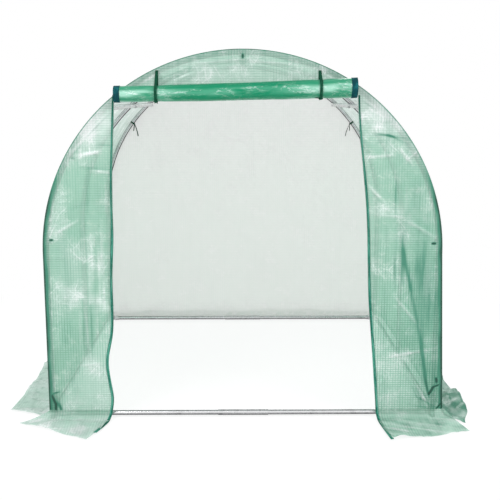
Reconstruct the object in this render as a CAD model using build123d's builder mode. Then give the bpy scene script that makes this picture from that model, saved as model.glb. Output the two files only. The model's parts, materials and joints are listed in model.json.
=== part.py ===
from build123d import *
import os
from math import cos, degrees, radians, sin

# A walk-in polytunnel: three tube hoops under a reinforced film cover. The tunnel stands on
# the plane z = 0 with its middle at the origin. X runs across it, Y runs along it with the
# doorway facing -Y, and Z is up. All sizes are in millimetres.

# Driving dimensions
tunnel_width = 2000.0  # over the cover
tunnel_length = 2000.0  # over the end walls
spring_height = 865.0  # where the straight legs turn into the round roof
film = 2.0
fit_gap = 0.3  # between pieces that bear on each other

tube_radius = 12.5
tube_wall = 1.0
spigot_length = 55.0  # reduced tube end that enters the next tube
swage_taper = 8.0
bow_tail = 60.0  # straight end of a bow below the spring line
ridge_overlap = 3.2  # degrees of arc that two bows share at the ridge
tie_room = 1.8  # between a hoop and the cover

foot_lip = 1.5  # a plastic foot beyond its tube
foot_height = 3.0
foot_plug = 20.0

purlin_angle = 48.0  # side purlins, above the spring line
end_rail_height = 20.0
side_rail_height = 57.0
plate_width = 32.0  # a tube end pressed flat
plate_thickness = 2.4
plate_reach = 14.0  # plate beyond the middle of its hoop
plate_length = 34.0
flatten_length = 36.0  # from flat plate to round tube
pressed_width = 35.0
sleeve_wall = 1.4
sleeve_length = 260.0
rail_gap = 2.0  # between two half rails inside the sleeve

door_half_width_top = 592.0
door_half_width_foot = 683.0
door_height = 1645.0
zip_width = 18.0
zip_thickness = 1.6

skirt_root = 45.0  # where the cover leaves the wall
skirt_fold = 26.0
skirt_landing = 55.0  # how far out it meets the ground
side_skirt = 220.0
end_skirt = 280.0
corner_slit = 4.0
doorway_slant = 48.0  # how far the skirts' ends lean at the doorway and the corners
end_skirt_slant = 120.0
side_skirt_slant = -85.0

roll_left = -587.0  # the rolled door between its end tapes
roll_right = 530.0
roll_tape = 27.0
roll_tape_proud = 3.0
roll_radius_left = 39.0
roll_radius_right = 46.0
roll_height_left = 1650.0
roll_height_right = 1676.0

strap_width = 18.0
strap_thickness = 1.5
strap_top = 1762.0
strap_places = {"left": -414.0, "right": 384.0}

tie_width = 14.0
tie_thickness = 1.2
tie_angles = {"front": (4.0, 30.0), "back": (4.0, 37.0)}
tie_tail = 96.0
knot_size = 9.0
foot_tie_height = 118.0
foot_tie_tail = 36.0

# Sizes worked out from them
half_width = tunnel_width / 2
half_length = tunnel_length / 2
cover_inner = half_width - film
end_wall_radius = cover_inner - fit_gap
hoop_radius = cover_inner - tie_room - tube_radius  # to the middle of the tube
hoop_reach = max(plate_reach, tube_radius + fit_gap + tie_thickness)  # toward an end wall
end_hoop = half_length - film - fit_gap - hoop_reach
hoop_places = {"front": -end_hoop, "middle": 0.0, "back": end_hoop}
sides = {"left": -1, "right": 1}
tube_bore = tube_radius - tube_wall
foot_radius = tube_radius + foot_lip
sleeve_bore = tube_radius + fit_gap
spigot_radius = tube_bore - fit_gap / 3
spigot_bore = spigot_radius - tube_wall
joint_height = spring_height - bow_tail
first_plate = tube_radius + fit_gap + plate_thickness / 2
second_plate = first_plate + plate_thickness + fit_gap
tube_depth = (first_plate + second_plate) / 2  # a rail or purlin, from its hoop's middle
round_from = plate_length + flatten_length
roll_y = -(half_length + roll_radius_right + roll_tape_proud + 2 * fit_gap)
roll_slope = (roll_height_right - roll_height_left) / (roll_right - roll_left)
roll_taper = (roll_radius_right - roll_radius_left) / (roll_right - roll_left)

os.makedirs("parts", exist_ok=True)


def save(solid, name):
    """Label one finished piece and write it as its own STEP file."""
    solid.label = name
    export_step(solid, f"parts/{name}.step")


def hoop_plane(side, hoop_y, angle):
    """Plane across a hoop's tube, facing up along the bow, at an angle above the spring line."""
    across, up = cos(radians(angle)), sin(radians(angle))
    middle = (side * hoop_radius * across, hoop_y, spring_height + hoop_radius * up)
    return Plane(middle, x_dir=(0, 1, 0), z_dir=(-side * up, 0, across))


# Frame: legs, feet and bows
for place, hoop_y in hoop_places.items():
    for side_name, side in sides.items():
        leg_x = side * hoop_radius
        with BuildPart() as leg:
            with BuildSketch(Plane.XZ.offset(-hoop_y)):
                with BuildLine():
                    Polyline(
                        (leg_x + tube_bore, foot_height),
                        (leg_x + tube_radius, foot_height),
                        (leg_x + tube_radius, joint_height - swage_taper),
                        (leg_x + spigot_radius, joint_height),
                        (leg_x + spigot_radius, joint_height + spigot_length),
                        (leg_x + spigot_bore, joint_height + spigot_length),
                        (leg_x + spigot_bore, joint_height),
                        (leg_x + tube_bore, joint_height - swage_taper),
                        close=True,
                    )
                make_face()
            revolve(axis=Axis((leg_x, hoop_y, 0), (0, 0, 1)))
        save(leg.part, f"{place}_leg_{side_name}")

        is_inserted = side < 0  # the left bow's reduced end enters the right bow
        round_end = 90 - ridge_overlap / 2 if is_inserted else 90 + ridge_overlap / 2
        shoulder = degrees(swage_taper / hoop_radius)
        bend = Axis((0, hoop_y, spring_height), (0, -side, 0))
        with BuildPart() as bow:
            with BuildSketch(hoop_plane(side, hoop_y, 0)):
                Circle(tube_radius)
                Circle(tube_bore, mode=Mode.SUBTRACT)
            extrude(amount=-bow_tail)
            with BuildSketch(hoop_plane(side, hoop_y, 0)):
                Circle(tube_radius)
                Circle(tube_bore, mode=Mode.SUBTRACT)
            revolve(axis=bend, revolution_arc=round_end)
            if is_inserted:
                with BuildSketch(hoop_plane(side, hoop_y, round_end - shoulder)):
                    Circle(tube_bore + tube_wall / 2)
                    Circle(spigot_bore, mode=Mode.SUBTRACT)
                revolve(axis=bend, revolution_arc=shoulder)
                with BuildSketch(hoop_plane(side, hoop_y, round_end)):
                    Circle(spigot_radius)
                    Circle(spigot_bore, mode=Mode.SUBTRACT)
                revolve(axis=bend, revolution_arc=ridge_overlap)
        save(bow.part, f"{place}_bow_{side_name}")

with BuildPart() as foot_caps:
    with BuildSketch():
        with GridLocations(2 * hoop_radius, end_hoop, 2, 3):
            Circle(foot_radius)
    extrude(amount=foot_height)
    with BuildSketch(Plane.XY.offset(foot_height)):
        with GridLocations(2 * hoop_radius, end_hoop, 2, 3):
            Circle(spigot_radius)
    extrude(amount=foot_plug)
save(foot_caps.part, "foot_caps")


# Frame: rails and purlins, whose ends are pressed flat and bolted inside the hoops
def flat_ended_tube(place, length, start_plate, end_plate):
    """Tube along the place's X axis, with its Z axis pointing from the hoop to the inside.

    A plate depth is the middle of that flattened end, measured from the hoop's middle. An end
    with no plate depth stays round.
    """

    def across(distance, depth):
        middle = place.from_local_coords((distance, 0, depth))
        return Plane(middle, x_dir=place.y_dir, z_dir=place.x_dir)

    round_start = round_from if start_plate else 0.0
    round_end = length - round_from if end_plate else length
    with BuildPart() as tube:
        with BuildSketch(across(round_start, tube_depth)):
            Circle(tube_radius)
        extrude(amount=round_end - round_start)
        for hoop_at, inward, depth in ((0.0, 1, start_plate), (length, -1, end_plate)):
            if depth is None:
                continue
            with BuildSketch(across(hoop_at + inward * plate_length, depth)):
                Ellipse(pressed_width / 2, plate_thickness / 2)
            with BuildSketch(across(hoop_at + inward * round_from, tube_depth)):
                Circle(tube_radius)
            loft()
            flat_length = plate_reach + plate_length + plate_thickness
            flat_middle = hoop_at + inward * (flat_length / 2 - plate_reach)
            plate_face = place.from_local_coords((flat_middle, 0, depth))
            with BuildSketch(Plane(plate_face, x_dir=place.x_dir, z_dir=place.z_dir)):
                RectangleRounded(flat_length, plate_width, plate_reach - 2)
            extrude(amount=plate_thickness / 2, both=True)
    return tube.part


side_purlin = (
    hoop_radius * cos(radians(purlin_angle)),
    spring_height + hoop_radius * sin(radians(purlin_angle)),
)
purlin_in = (cos(radians(purlin_angle)), sin(radians(purlin_angle)))
long_tubes = {
    "ridge_purlin": ((0, spring_height + hoop_radius), (0, -1)),
    "purlin_left": ((-side_purlin[0], side_purlin[1]), (purlin_in[0], -purlin_in[1])),
    "purlin_right": (side_purlin, (-purlin_in[0], -purlin_in[1])),
    "ground_rail_left": ((-hoop_radius, side_rail_height), (1, 0)),
    "ground_rail_right": ((hoop_radius, side_rail_height), (-1, 0)),
}
for name, ((at_x, at_z), (in_x, in_z)) in long_tubes.items():
    bays = []
    for start_y, start_plate in ((-end_hoop, first_plate), (0.0, second_plate)):
        place = Plane((at_x, start_y, at_z), x_dir=(0, 1, 0), z_dir=(in_x, 0, in_z))
        bays.append(flat_ended_tube(place, end_hoop, start_plate, first_plate))
    save(Compound(children=bays), name)

for place_name in ("front", "back"):
    hoop_y = hoop_places[place_name]
    inside = -1 if hoop_y > 0 else 1
    for side_name, side in sides.items():
        foot = (side * hoop_radius, hoop_y, end_rail_height)
        place = Plane(foot, x_dir=(-side, 0, 0), z_dir=(0, inside, 0))
        rail = flat_ended_tube(place, hoop_radius - rail_gap / 2, first_plate, None)
        save(rail, f"{place_name}_rail_{side_name}")
    with BuildPart() as sleeve:
        with BuildSketch(Plane.YZ):
            with Locations((hoop_y + inside * tube_depth, end_rail_height)):
                Circle(sleeve_bore + sleeve_wall)
                Circle(sleeve_bore, mode=Mode.SUBTRACT)
        extrude(amount=sleeve_length / 2, both=True)
    save(sleeve.part, f"{place_name}_rail_sleeve")


# Ties that hold the cover to the end hoops
def hoop_tie(around, inward, tail_length):
    """Strap round a tube, knotted on the tube's inner side, with a tail that hangs down."""
    ring = tube_radius + fit_gap / 2 + tie_thickness
    knot_at = around.origin + inward * (ring + knot_size / 2 - tie_thickness)
    with BuildPart() as tie:
        with BuildSketch(around):
            Circle(ring)
            Circle(ring - tie_thickness, mode=Mode.SUBTRACT)
        extrude(amount=tie_width / 2, both=True)
        with BuildSketch(Plane(knot_at, x_dir=(0, 1, 0), z_dir=inward)):
            RectangleRounded(tie_width, knot_size, knot_size / 3)
        extrude(amount=knot_size / 2, both=True)
        with BuildSketch(Plane(knot_at, x_dir=(0, 1, 0), z_dir=(0, 0, -1))):
            Rectangle(tie_width * 0.75, tie_thickness)
        extrude(amount=tail_length)
    return tie.part


for place_name in ("front", "back"):
    hoop_y = hoop_places[place_name]
    ties = []
    for side in sides.values():
        for angle in tie_angles[place_name]:
            inward = Vector(-side * cos(radians(angle)), 0, -sin(radians(angle)))
            ties.append(hoop_tie(hoop_plane(side, hoop_y, angle), inward, tie_tail))
        foot = Plane((side * hoop_radius, hoop_y, foot_tie_height))
        ties.append(hoop_tie(foot, Vector(-side, 0, 0), foot_tie_tail))
    save(Compound(children=ties), f"{place_name}_hoop_ties")

# Cover: side walls and the two quarters of the roof
for side_name, side in sides.items():
    with BuildPart() as side_cover:
        with BuildSketch(Plane.XZ.offset(half_length)):
            with Locations((side * (half_width - film / 2), (skirt_root + spring_height) / 2)):
                Rectangle(film, spring_height - skirt_root)
        extrude(amount=-tunnel_length)
    save(side_cover.part, f"side_cover_{side_name}")

    with BuildPart() as roof:
        with BuildSketch(Plane.XZ.offset(half_length)):
            with Locations((0, spring_height)):
                Circle(half_width)
                Circle(cover_inner, mode=Mode.SUBTRACT)
            with Locations((side * half_width / 2, spring_height + half_width / 2)):
                Rectangle(half_width, half_width, mode=Mode.INTERSECT)
        extrude(amount=-tunnel_length)
    save(roof.part, f"roof_cover_{side_name}")


# Cover: end walls
with BuildSketch() as arch:
    with BuildLine():
        Polyline(
            (-end_wall_radius, spring_height),
            (-end_wall_radius, skirt_root),
            (end_wall_radius, skirt_root),
            (end_wall_radius, spring_height),
        )
        ThreePointArc(
            (end_wall_radius, spring_height),
            (0, spring_height + end_wall_radius),
            (-end_wall_radius, spring_height),
        )
    make_face()

with BuildPart() as back_wall:
    with BuildSketch(Plane.XZ.offset(-half_length)):
        add(arch.sketch)
    extrude(amount=film)
save(back_wall.part, "back_wall")

door_lean = (door_half_width_foot - door_half_width_top) / door_height
door_half_width_root = door_half_width_foot - door_lean * skirt_root
for side_name, side in sides.items():
    with BuildPart() as front_wall:
        with BuildSketch(Plane.XZ.offset(half_length)):
            add(arch.sketch)
            with BuildLine():
                Polyline(
                    (side * door_half_width_foot, 0),
                    (side * tunnel_width, 0),
                    (side * tunnel_width, door_height),
                    (side * door_half_width_top, door_height),
                    close=True,
                )
            make_face(mode=Mode.INTERSECT)
        extrude(amount=-film)
    save(front_wall.part, f"front_wall_{side_name}")

    with BuildPart() as zip_tape:
        with BuildSketch(Plane.XZ.offset(half_length)):
            with BuildLine():
                Polyline(
                    (side * door_half_width_root, skirt_root),
                    (side * (door_half_width_root + zip_width), skirt_root),
                    (side * (door_half_width_top + zip_width), door_height),
                    (side * door_half_width_top, door_height),
                    close=True,
                )
            make_face()
        extrude(amount=zip_thickness)
    save(zip_tape.part, f"door_zip_{side_name}")

with BuildPart() as front_wall_top:
    with BuildSketch(Plane.XZ.offset(half_length)):
        add(arch.sketch)
        with Locations((0, door_height)):
            Rectangle(
                tunnel_width,
                tunnel_width,
                align=(Align.CENTER, Align.MIN),
                mode=Mode.INTERSECT,
            )
    extrude(amount=-film)
save(front_wall_top.part, "front_wall_top")


# Cover: skirts that lie out on the ground
def skirt(start, outward, reach, length, start_slant, end_slant):
    """Skirt at the foot of a wall, from a start point on, clockwise as seen from above.

    A slant is how far that end leans past the wall's length at the skirt's outer edge.
    """
    out = Vector(*outward)
    along = out.cross(Vector(0, 0, 1))
    spare = abs(start_slant) + abs(end_slant)
    section_start = Vector(*start) - along * spare
    with BuildPart() as piece:
        with BuildSketch(Plane(section_start, x_dir=out, z_dir=along)):
            with BuildLine():
                Polyline(
                    (-film, skirt_root),
                    (0, skirt_root),
                    (0, skirt_fold + film),
                    (skirt_landing, film),
                    (reach, film),
                    (reach, 0),
                    (skirt_landing - film, 0),
                    (-film, skirt_fold),
                    close=True,
                )
            make_face()
        extrude(amount=length + 2 * spare)
        with BuildSketch(Plane(Vector(*start), x_dir=out)):
            with BuildLine():
                Polyline(
                    (-film, 0),
                    (0, 0),
                    (reach, start_slant),
                    (reach, -length - end_slant),
                    (0, -length),
                    (-film, -length),
                    close=True,
                )
            make_face()
        extrude(amount=skirt_root, mode=Mode.INTERSECT)
    return piece.part


skirt_end = cover_inner - corner_slit  # of a skirt that lies across the tunnel
side_skirt_end = half_length - film - corner_slit  # of one that lies along it
front_length = skirt_end - door_half_width_root
side_slants = (side_skirt_slant, side_skirt_slant)
front_skirts = {
    "left": (-door_half_width_root, -doorway_slant, end_skirt_slant),
    "right": (skirt_end, end_skirt_slant, -doorway_slant),
}
for side_name, side in sides.items():
    side_start = (side * half_width, side * side_skirt_end)
    side_piece = skirt(side_start, (side, 0), side_skirt, 2 * side_skirt_end, *side_slants)
    save(side_piece, f"skirt_{side_name}")
    front_x, *front_slants = front_skirts[side_name]
    front_start = (front_x, -half_length)
    front_piece = skirt(front_start, (0, -1), end_skirt, front_length, *front_slants)
    save(front_piece, f"skirt_front_{side_name}")
back_start = (-skirt_end, half_length)
back_slants = (end_skirt_slant, end_skirt_slant)
back_piece = skirt(back_start, (0, 1), end_skirt, 2 * skirt_end, *back_slants)
save(back_piece, "skirt_back")

# Rolled door and the straps that hold it up
roll_start = Vector(roll_left, roll_y, roll_height_left)
roll_stop = Vector(roll_right, roll_y, roll_height_right)
roll_along = (roll_stop - roll_start).normalized()
with BuildPart() as door_roll:
    with BuildSketch(Plane(roll_start, z_dir=roll_along)):
        Circle(roll_radius_left)
    with BuildSketch(Plane(roll_stop, z_dir=roll_along)):
        Circle(roll_radius_right)
    loft()
save(door_roll.part, "door_roll")

with BuildPart() as roll_tapes:
    with BuildSketch(Plane(roll_start, z_dir=roll_along)):
        Circle(roll_radius_left + roll_tape_proud)
    extrude(amount=-roll_tape)
    with BuildSketch(Plane(roll_stop, z_dir=roll_along)):
        Circle(roll_radius_right + roll_tape_proud)
    extrude(amount=roll_tape)
    fillet(roll_tapes.edges().filter_by(GeomType.CIRCLE), roll_tape_proud * 0.9)
save(roll_tapes.part, "door_roll_tapes")

for side_name, strap_x in strap_places.items():
    from_left = strap_x - roll_left
    roll_middle = (roll_y, roll_height_left + roll_slope * from_left)
    loop_radius = roll_radius_left + roll_taper * from_left + fit_gap * 2
    strap_head = (-half_length - strap_thickness - fit_gap, strap_top)
    with BuildPart() as strap:
        with BuildSketch(Plane.YZ.offset(strap_x)):
            with Locations(roll_middle):
                Circle(loop_radius + strap_thickness)
            with Locations(strap_head):
                Circle(strap_thickness)
            make_hull()
        extrude(amount=strap_width / 2, both=True)
        with BuildSketch(Plane.YZ.offset(strap_x)):
            with Locations(roll_middle):
                Circle(loop_radius)
            with Locations(strap_head):
                Circle(strap_thickness / 10)
            make_hull()
        extrude(amount=strap_width, both=True, mode=Mode.SUBTRACT)
    save(strap.part, f"roll_strap_{side_name}")
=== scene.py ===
"""Looks of a walk-in polytunnel: net-reinforced film over a galvanised tube frame."""

import json
import logging
import random
from dataclasses import dataclass, field
from enum import Enum
from math import acos, asin, atan2, cos, hypot, pi, radians, sin, sqrt, tau
from typing import Iterable, Optional, Sequence, Union

import bmesh
import bpy
import numpy as np
from mathutils import Matrix, Vector, noise

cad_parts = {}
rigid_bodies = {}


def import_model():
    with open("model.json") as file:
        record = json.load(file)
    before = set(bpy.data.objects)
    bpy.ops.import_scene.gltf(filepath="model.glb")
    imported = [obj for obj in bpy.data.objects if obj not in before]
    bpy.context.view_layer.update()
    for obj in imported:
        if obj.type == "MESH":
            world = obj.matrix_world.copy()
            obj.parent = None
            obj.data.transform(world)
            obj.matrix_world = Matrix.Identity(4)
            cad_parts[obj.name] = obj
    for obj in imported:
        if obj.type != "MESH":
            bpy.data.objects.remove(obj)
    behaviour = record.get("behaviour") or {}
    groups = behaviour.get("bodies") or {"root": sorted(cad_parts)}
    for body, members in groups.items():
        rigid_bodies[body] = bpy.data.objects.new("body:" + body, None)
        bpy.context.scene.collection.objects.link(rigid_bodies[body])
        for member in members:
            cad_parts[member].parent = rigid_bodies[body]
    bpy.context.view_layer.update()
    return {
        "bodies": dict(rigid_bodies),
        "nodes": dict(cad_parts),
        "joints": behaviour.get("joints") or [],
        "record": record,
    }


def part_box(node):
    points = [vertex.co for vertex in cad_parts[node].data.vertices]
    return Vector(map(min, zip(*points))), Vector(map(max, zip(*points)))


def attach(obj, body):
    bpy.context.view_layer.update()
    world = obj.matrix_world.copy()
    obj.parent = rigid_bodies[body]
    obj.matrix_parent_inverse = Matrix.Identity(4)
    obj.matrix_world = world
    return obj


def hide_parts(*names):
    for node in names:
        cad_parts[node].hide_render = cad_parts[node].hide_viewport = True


log = logging.getLogger("polytunnel")
Number = Union[int, float]
Operand = Union["Value", Number]
Colour = tuple[float, float, float]
Point = tuple[float, float, float]
Profile = Sequence[tuple[float, float]]  # radius and height of each step of a turned shape
Array = np.ndarray
Amount = Union[float, Array]
Tones = dict[str, Array]  # how pale and how deep film is, and how plain its net
Patch = tuple[Array, Array, Tones]  # places, flat places and tones


class Way(Enum):
    """A way from the tunnel's middle, as its sign along an axis."""

    @property
    def word(self) -> str:
        """Name of the way as the frame's nodes use it."""
        return self.name.lower()


class Side(Way):
    """A side of the tunnel, along X."""

    LEFT = -1
    RIGHT = 1


class End(Way):
    """An end of the tunnel, along Y."""

    FRONT = -1
    BACK = 1


class Held(Enum):
    """How a sheet of cloth is held."""

    STRETCHED = "stretched"
    FOLDED = "folded"


# ------------------------------------------------------------------ shader trees


class Value:
    """A number socket whose arithmetic adds Math nodes to its tree."""

    def __init__(self, tree: "Tree", socket: bpy.types.NodeSocket) -> None:
        """Wrap an output socket of a tree."""
        self.tree = tree
        self.socket = socket

    def _math(self, operation: str, *others: Operand, swap: bool = False) -> "Value":
        """Add a Math node.

        Args:
            operation: the node's operation.
            others: the operands that follow this one.
            swap: put this value last instead of first.

        Returns:
            The node's result.
        """
        operands = [*others, self] if swap else [self, *others]
        inputs = dict(enumerate(operands))
        return self.tree.add("ShaderNodeMath", {"operation": operation}, inputs).value()

    def __add__(self, other: Operand) -> "Value":
        """Sum."""
        return self._math("ADD", other)

    __radd__ = __add__

    def __sub__(self, other: Operand) -> "Value":
        """Difference."""
        return self._math("SUBTRACT", other)

    def __rsub__(self, other: Operand) -> "Value":
        """Reflected difference."""
        return self._math("SUBTRACT", other, swap=True)

    def __mul__(self, other: Operand) -> "Value":
        """Product."""
        return self._math("MULTIPLY", other)

    __rmul__ = __mul__

    def __truediv__(self, other: Operand) -> "Value":
        """Quotient."""
        return self._math("DIVIDE", other)

    def __or__(self, other: Operand) -> "Value":
        """Larger of two masks."""
        return self._math("MAXIMUM", other)

    def __and__(self, other: Operand) -> "Value":
        """Smaller of two masks."""
        return self._math("MINIMUM", other)

    def size(self) -> "Value":
        """Value without its sign."""
        return self._math("ABSOLUTE")

    def fold(self, half_pitch: Number) -> "Value":
        """Distance to the nearest multiple of twice the half pitch."""
        return self._math("PINGPONG", half_pitch)

    def rise(self, low: Number, high: Number) -> "Value":
        """Ramp smoothly from 0 at low to 1 at high, or the other way if low is over high.

        Args:
            low: the value that maps to 0.
            high: the value that maps to 1.

        Returns:
            The ramped value, clamped to 0 to 1.
        """
        falls = float(low > high)
        low, high = sorted((low, high))
        ends = {"From Min": low, "From Max": high, "To Min": falls, "To Max": 1.0 - falls}
        settings = {"interpolation_type": "SMOOTHSTEP"}
        mapped = self.tree.add("ShaderNodeMapRange", settings, {"Value": self, **ends})
        return mapped.value("Result")


class Added:
    """A node that was added to a tree, with its outputs at hand."""

    def __init__(self, tree: "Tree", node: bpy.types.Node) -> None:
        """Keep a node and the tree that holds it."""
        self.tree = tree
        self.node = node

    def out(self, name: Union[str, int] = 0) -> bpy.types.NodeSocket:
        """Output socket of a name or place."""
        return self.node.outputs[name]

    def value(self, name: Union[str, int] = 0) -> Value:
        """Output of a name or place as a number for arithmetic."""
        return Value(self.tree, self.node.outputs[name])


Link = Union[Value, Added, bpy.types.NodeSocket, Number, Sequence[Number]]


class Tree:
    """A node tree under construction."""

    def __init__(self, nodes: bpy.types.NodeTree) -> None:
        """Empty the node tree of a material or of the world."""
        self.nodes = nodes
        nodes.nodes.clear()

    def add(
        self,
        kind: str,
        settings: Optional[dict] = None,
        inputs: Optional[dict[Union[str, int], Link]] = None,
    ) -> Added:
        """Add one node.

        Args:
            kind: the node's type.
            settings: properties that are set first.
            inputs: values or links for its sockets, by name or place.

        Returns:
            The new node.
        """
        node = self.nodes.nodes.new(kind)
        for key, setting in (settings or {}).items():
            setattr(node, key, setting)
        for name, link in (inputs or {}).items():
            socket = node.inputs[name]
            link = link.out() if isinstance(link, Added) else getattr(link, "socket", link)
            if isinstance(link, bpy.types.NodeSocket):
                self.nodes.links.new(link, socket)
            elif socket.type == "RGBA" and len(link) == 3:
                socket.default_value = (*link, 1.0)
            else:
                socket.default_value = link
        return Added(self, node)

    def mix(self, low: Link, high: Link, share: Link) -> bpy.types.NodeSocket:
        """Mix two colours.

        Args:
            low: the colour at share 0.
            high: the colour at share 1.
            share: how much of the second colour shows.

        Returns:
            The mixed colour's socket.
        """
        low, high = ((*c, 1.0) if isinstance(c, tuple) else c for c in (low, high))
        mixed = self.add("ShaderNodeMix", {"data_type": "RGBA"}, {0: share, 6: low, 7: high})
        return mixed.out(2)

    def tone(self, name: str) -> Value:
        """Number of a name that each corner of the mesh carries."""
        return self.add("ShaderNodeAttribute", {"attribute_name": name}).value("Fac")

    def cloth(self) -> tuple[bpy.types.NodeSocket, Value, Value]:
        """Place on the flat cloth in metres.

        Returns:
            The place, and its two coordinates as numbers.
        """
        place = self.add("ShaderNodeUVMap", {"uv_map": "UVMap"}).out()
        split = self.add("ShaderNodeSeparateXYZ", None, {0: place})
        return place, split.value("X"), split.value("Y")

    def noise(self, where: Link, scale: float, detail: float = 2.0, rough: float = 0.5) -> Value:
        """Smooth noise from 0 to 1 over a position."""
        inputs = {"Vector": where, "Scale": scale, "Detail": detail, "Roughness": rough}
        return self.add("ShaderNodeTexNoise", None, inputs).value(0)

    def stretched(self, where: Link, scale: Point, turn: float = 0.0) -> bpy.types.NodeSocket:
        """Position scaled along each axis and turned about Z."""
        inputs = {"Vector": where, "Scale": scale, "Rotation": (0.0, 0.0, turn)}
        return self.add("ShaderNodeMapping", None, inputs).out()

    def bump(self, height: Value, distance: float, strength: float = 1.0) -> bpy.types.NodeSocket:
        """Normal that stands for a height, given as a share of a distance in metres."""
        inputs = {"Height": height, "Distance": distance, "Strength": strength}
        return self.add("ShaderNodeBump", None, inputs).out()

    def skin(self, colour: Link, rough: Link, others: Optional[dict[str, Link]] = None) -> Added:
        """Main shader of a surface, with the values or links of its other sockets."""
        inputs = {"Base Color": colour, "Roughness": rough, **(others or {})}
        return self.add("ShaderNodeBsdfPrincipled", None, inputs)


class Finish:
    """A surface finish that can make its own material."""

    name: str = "finish"

    def material(self) -> bpy.types.Material:
        """Make the material, or find it if it was made before.

        Returns:
            The material.
        """
        made = bpy.data.materials.get(self.name)
        if made is None:
            made = bpy.data.materials.new(self.name)
            made.use_nodes = True
            tree = Tree(made.node_tree)
            shader = self.surface(tree)
            tree.add("ShaderNodeOutputMaterial", None, {"Surface": shader})
        return made

    def surface(self, tree: Tree) -> Added:
        """Build the shader in a material's empty tree and give its last node."""
        raise NotImplementedError


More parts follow.
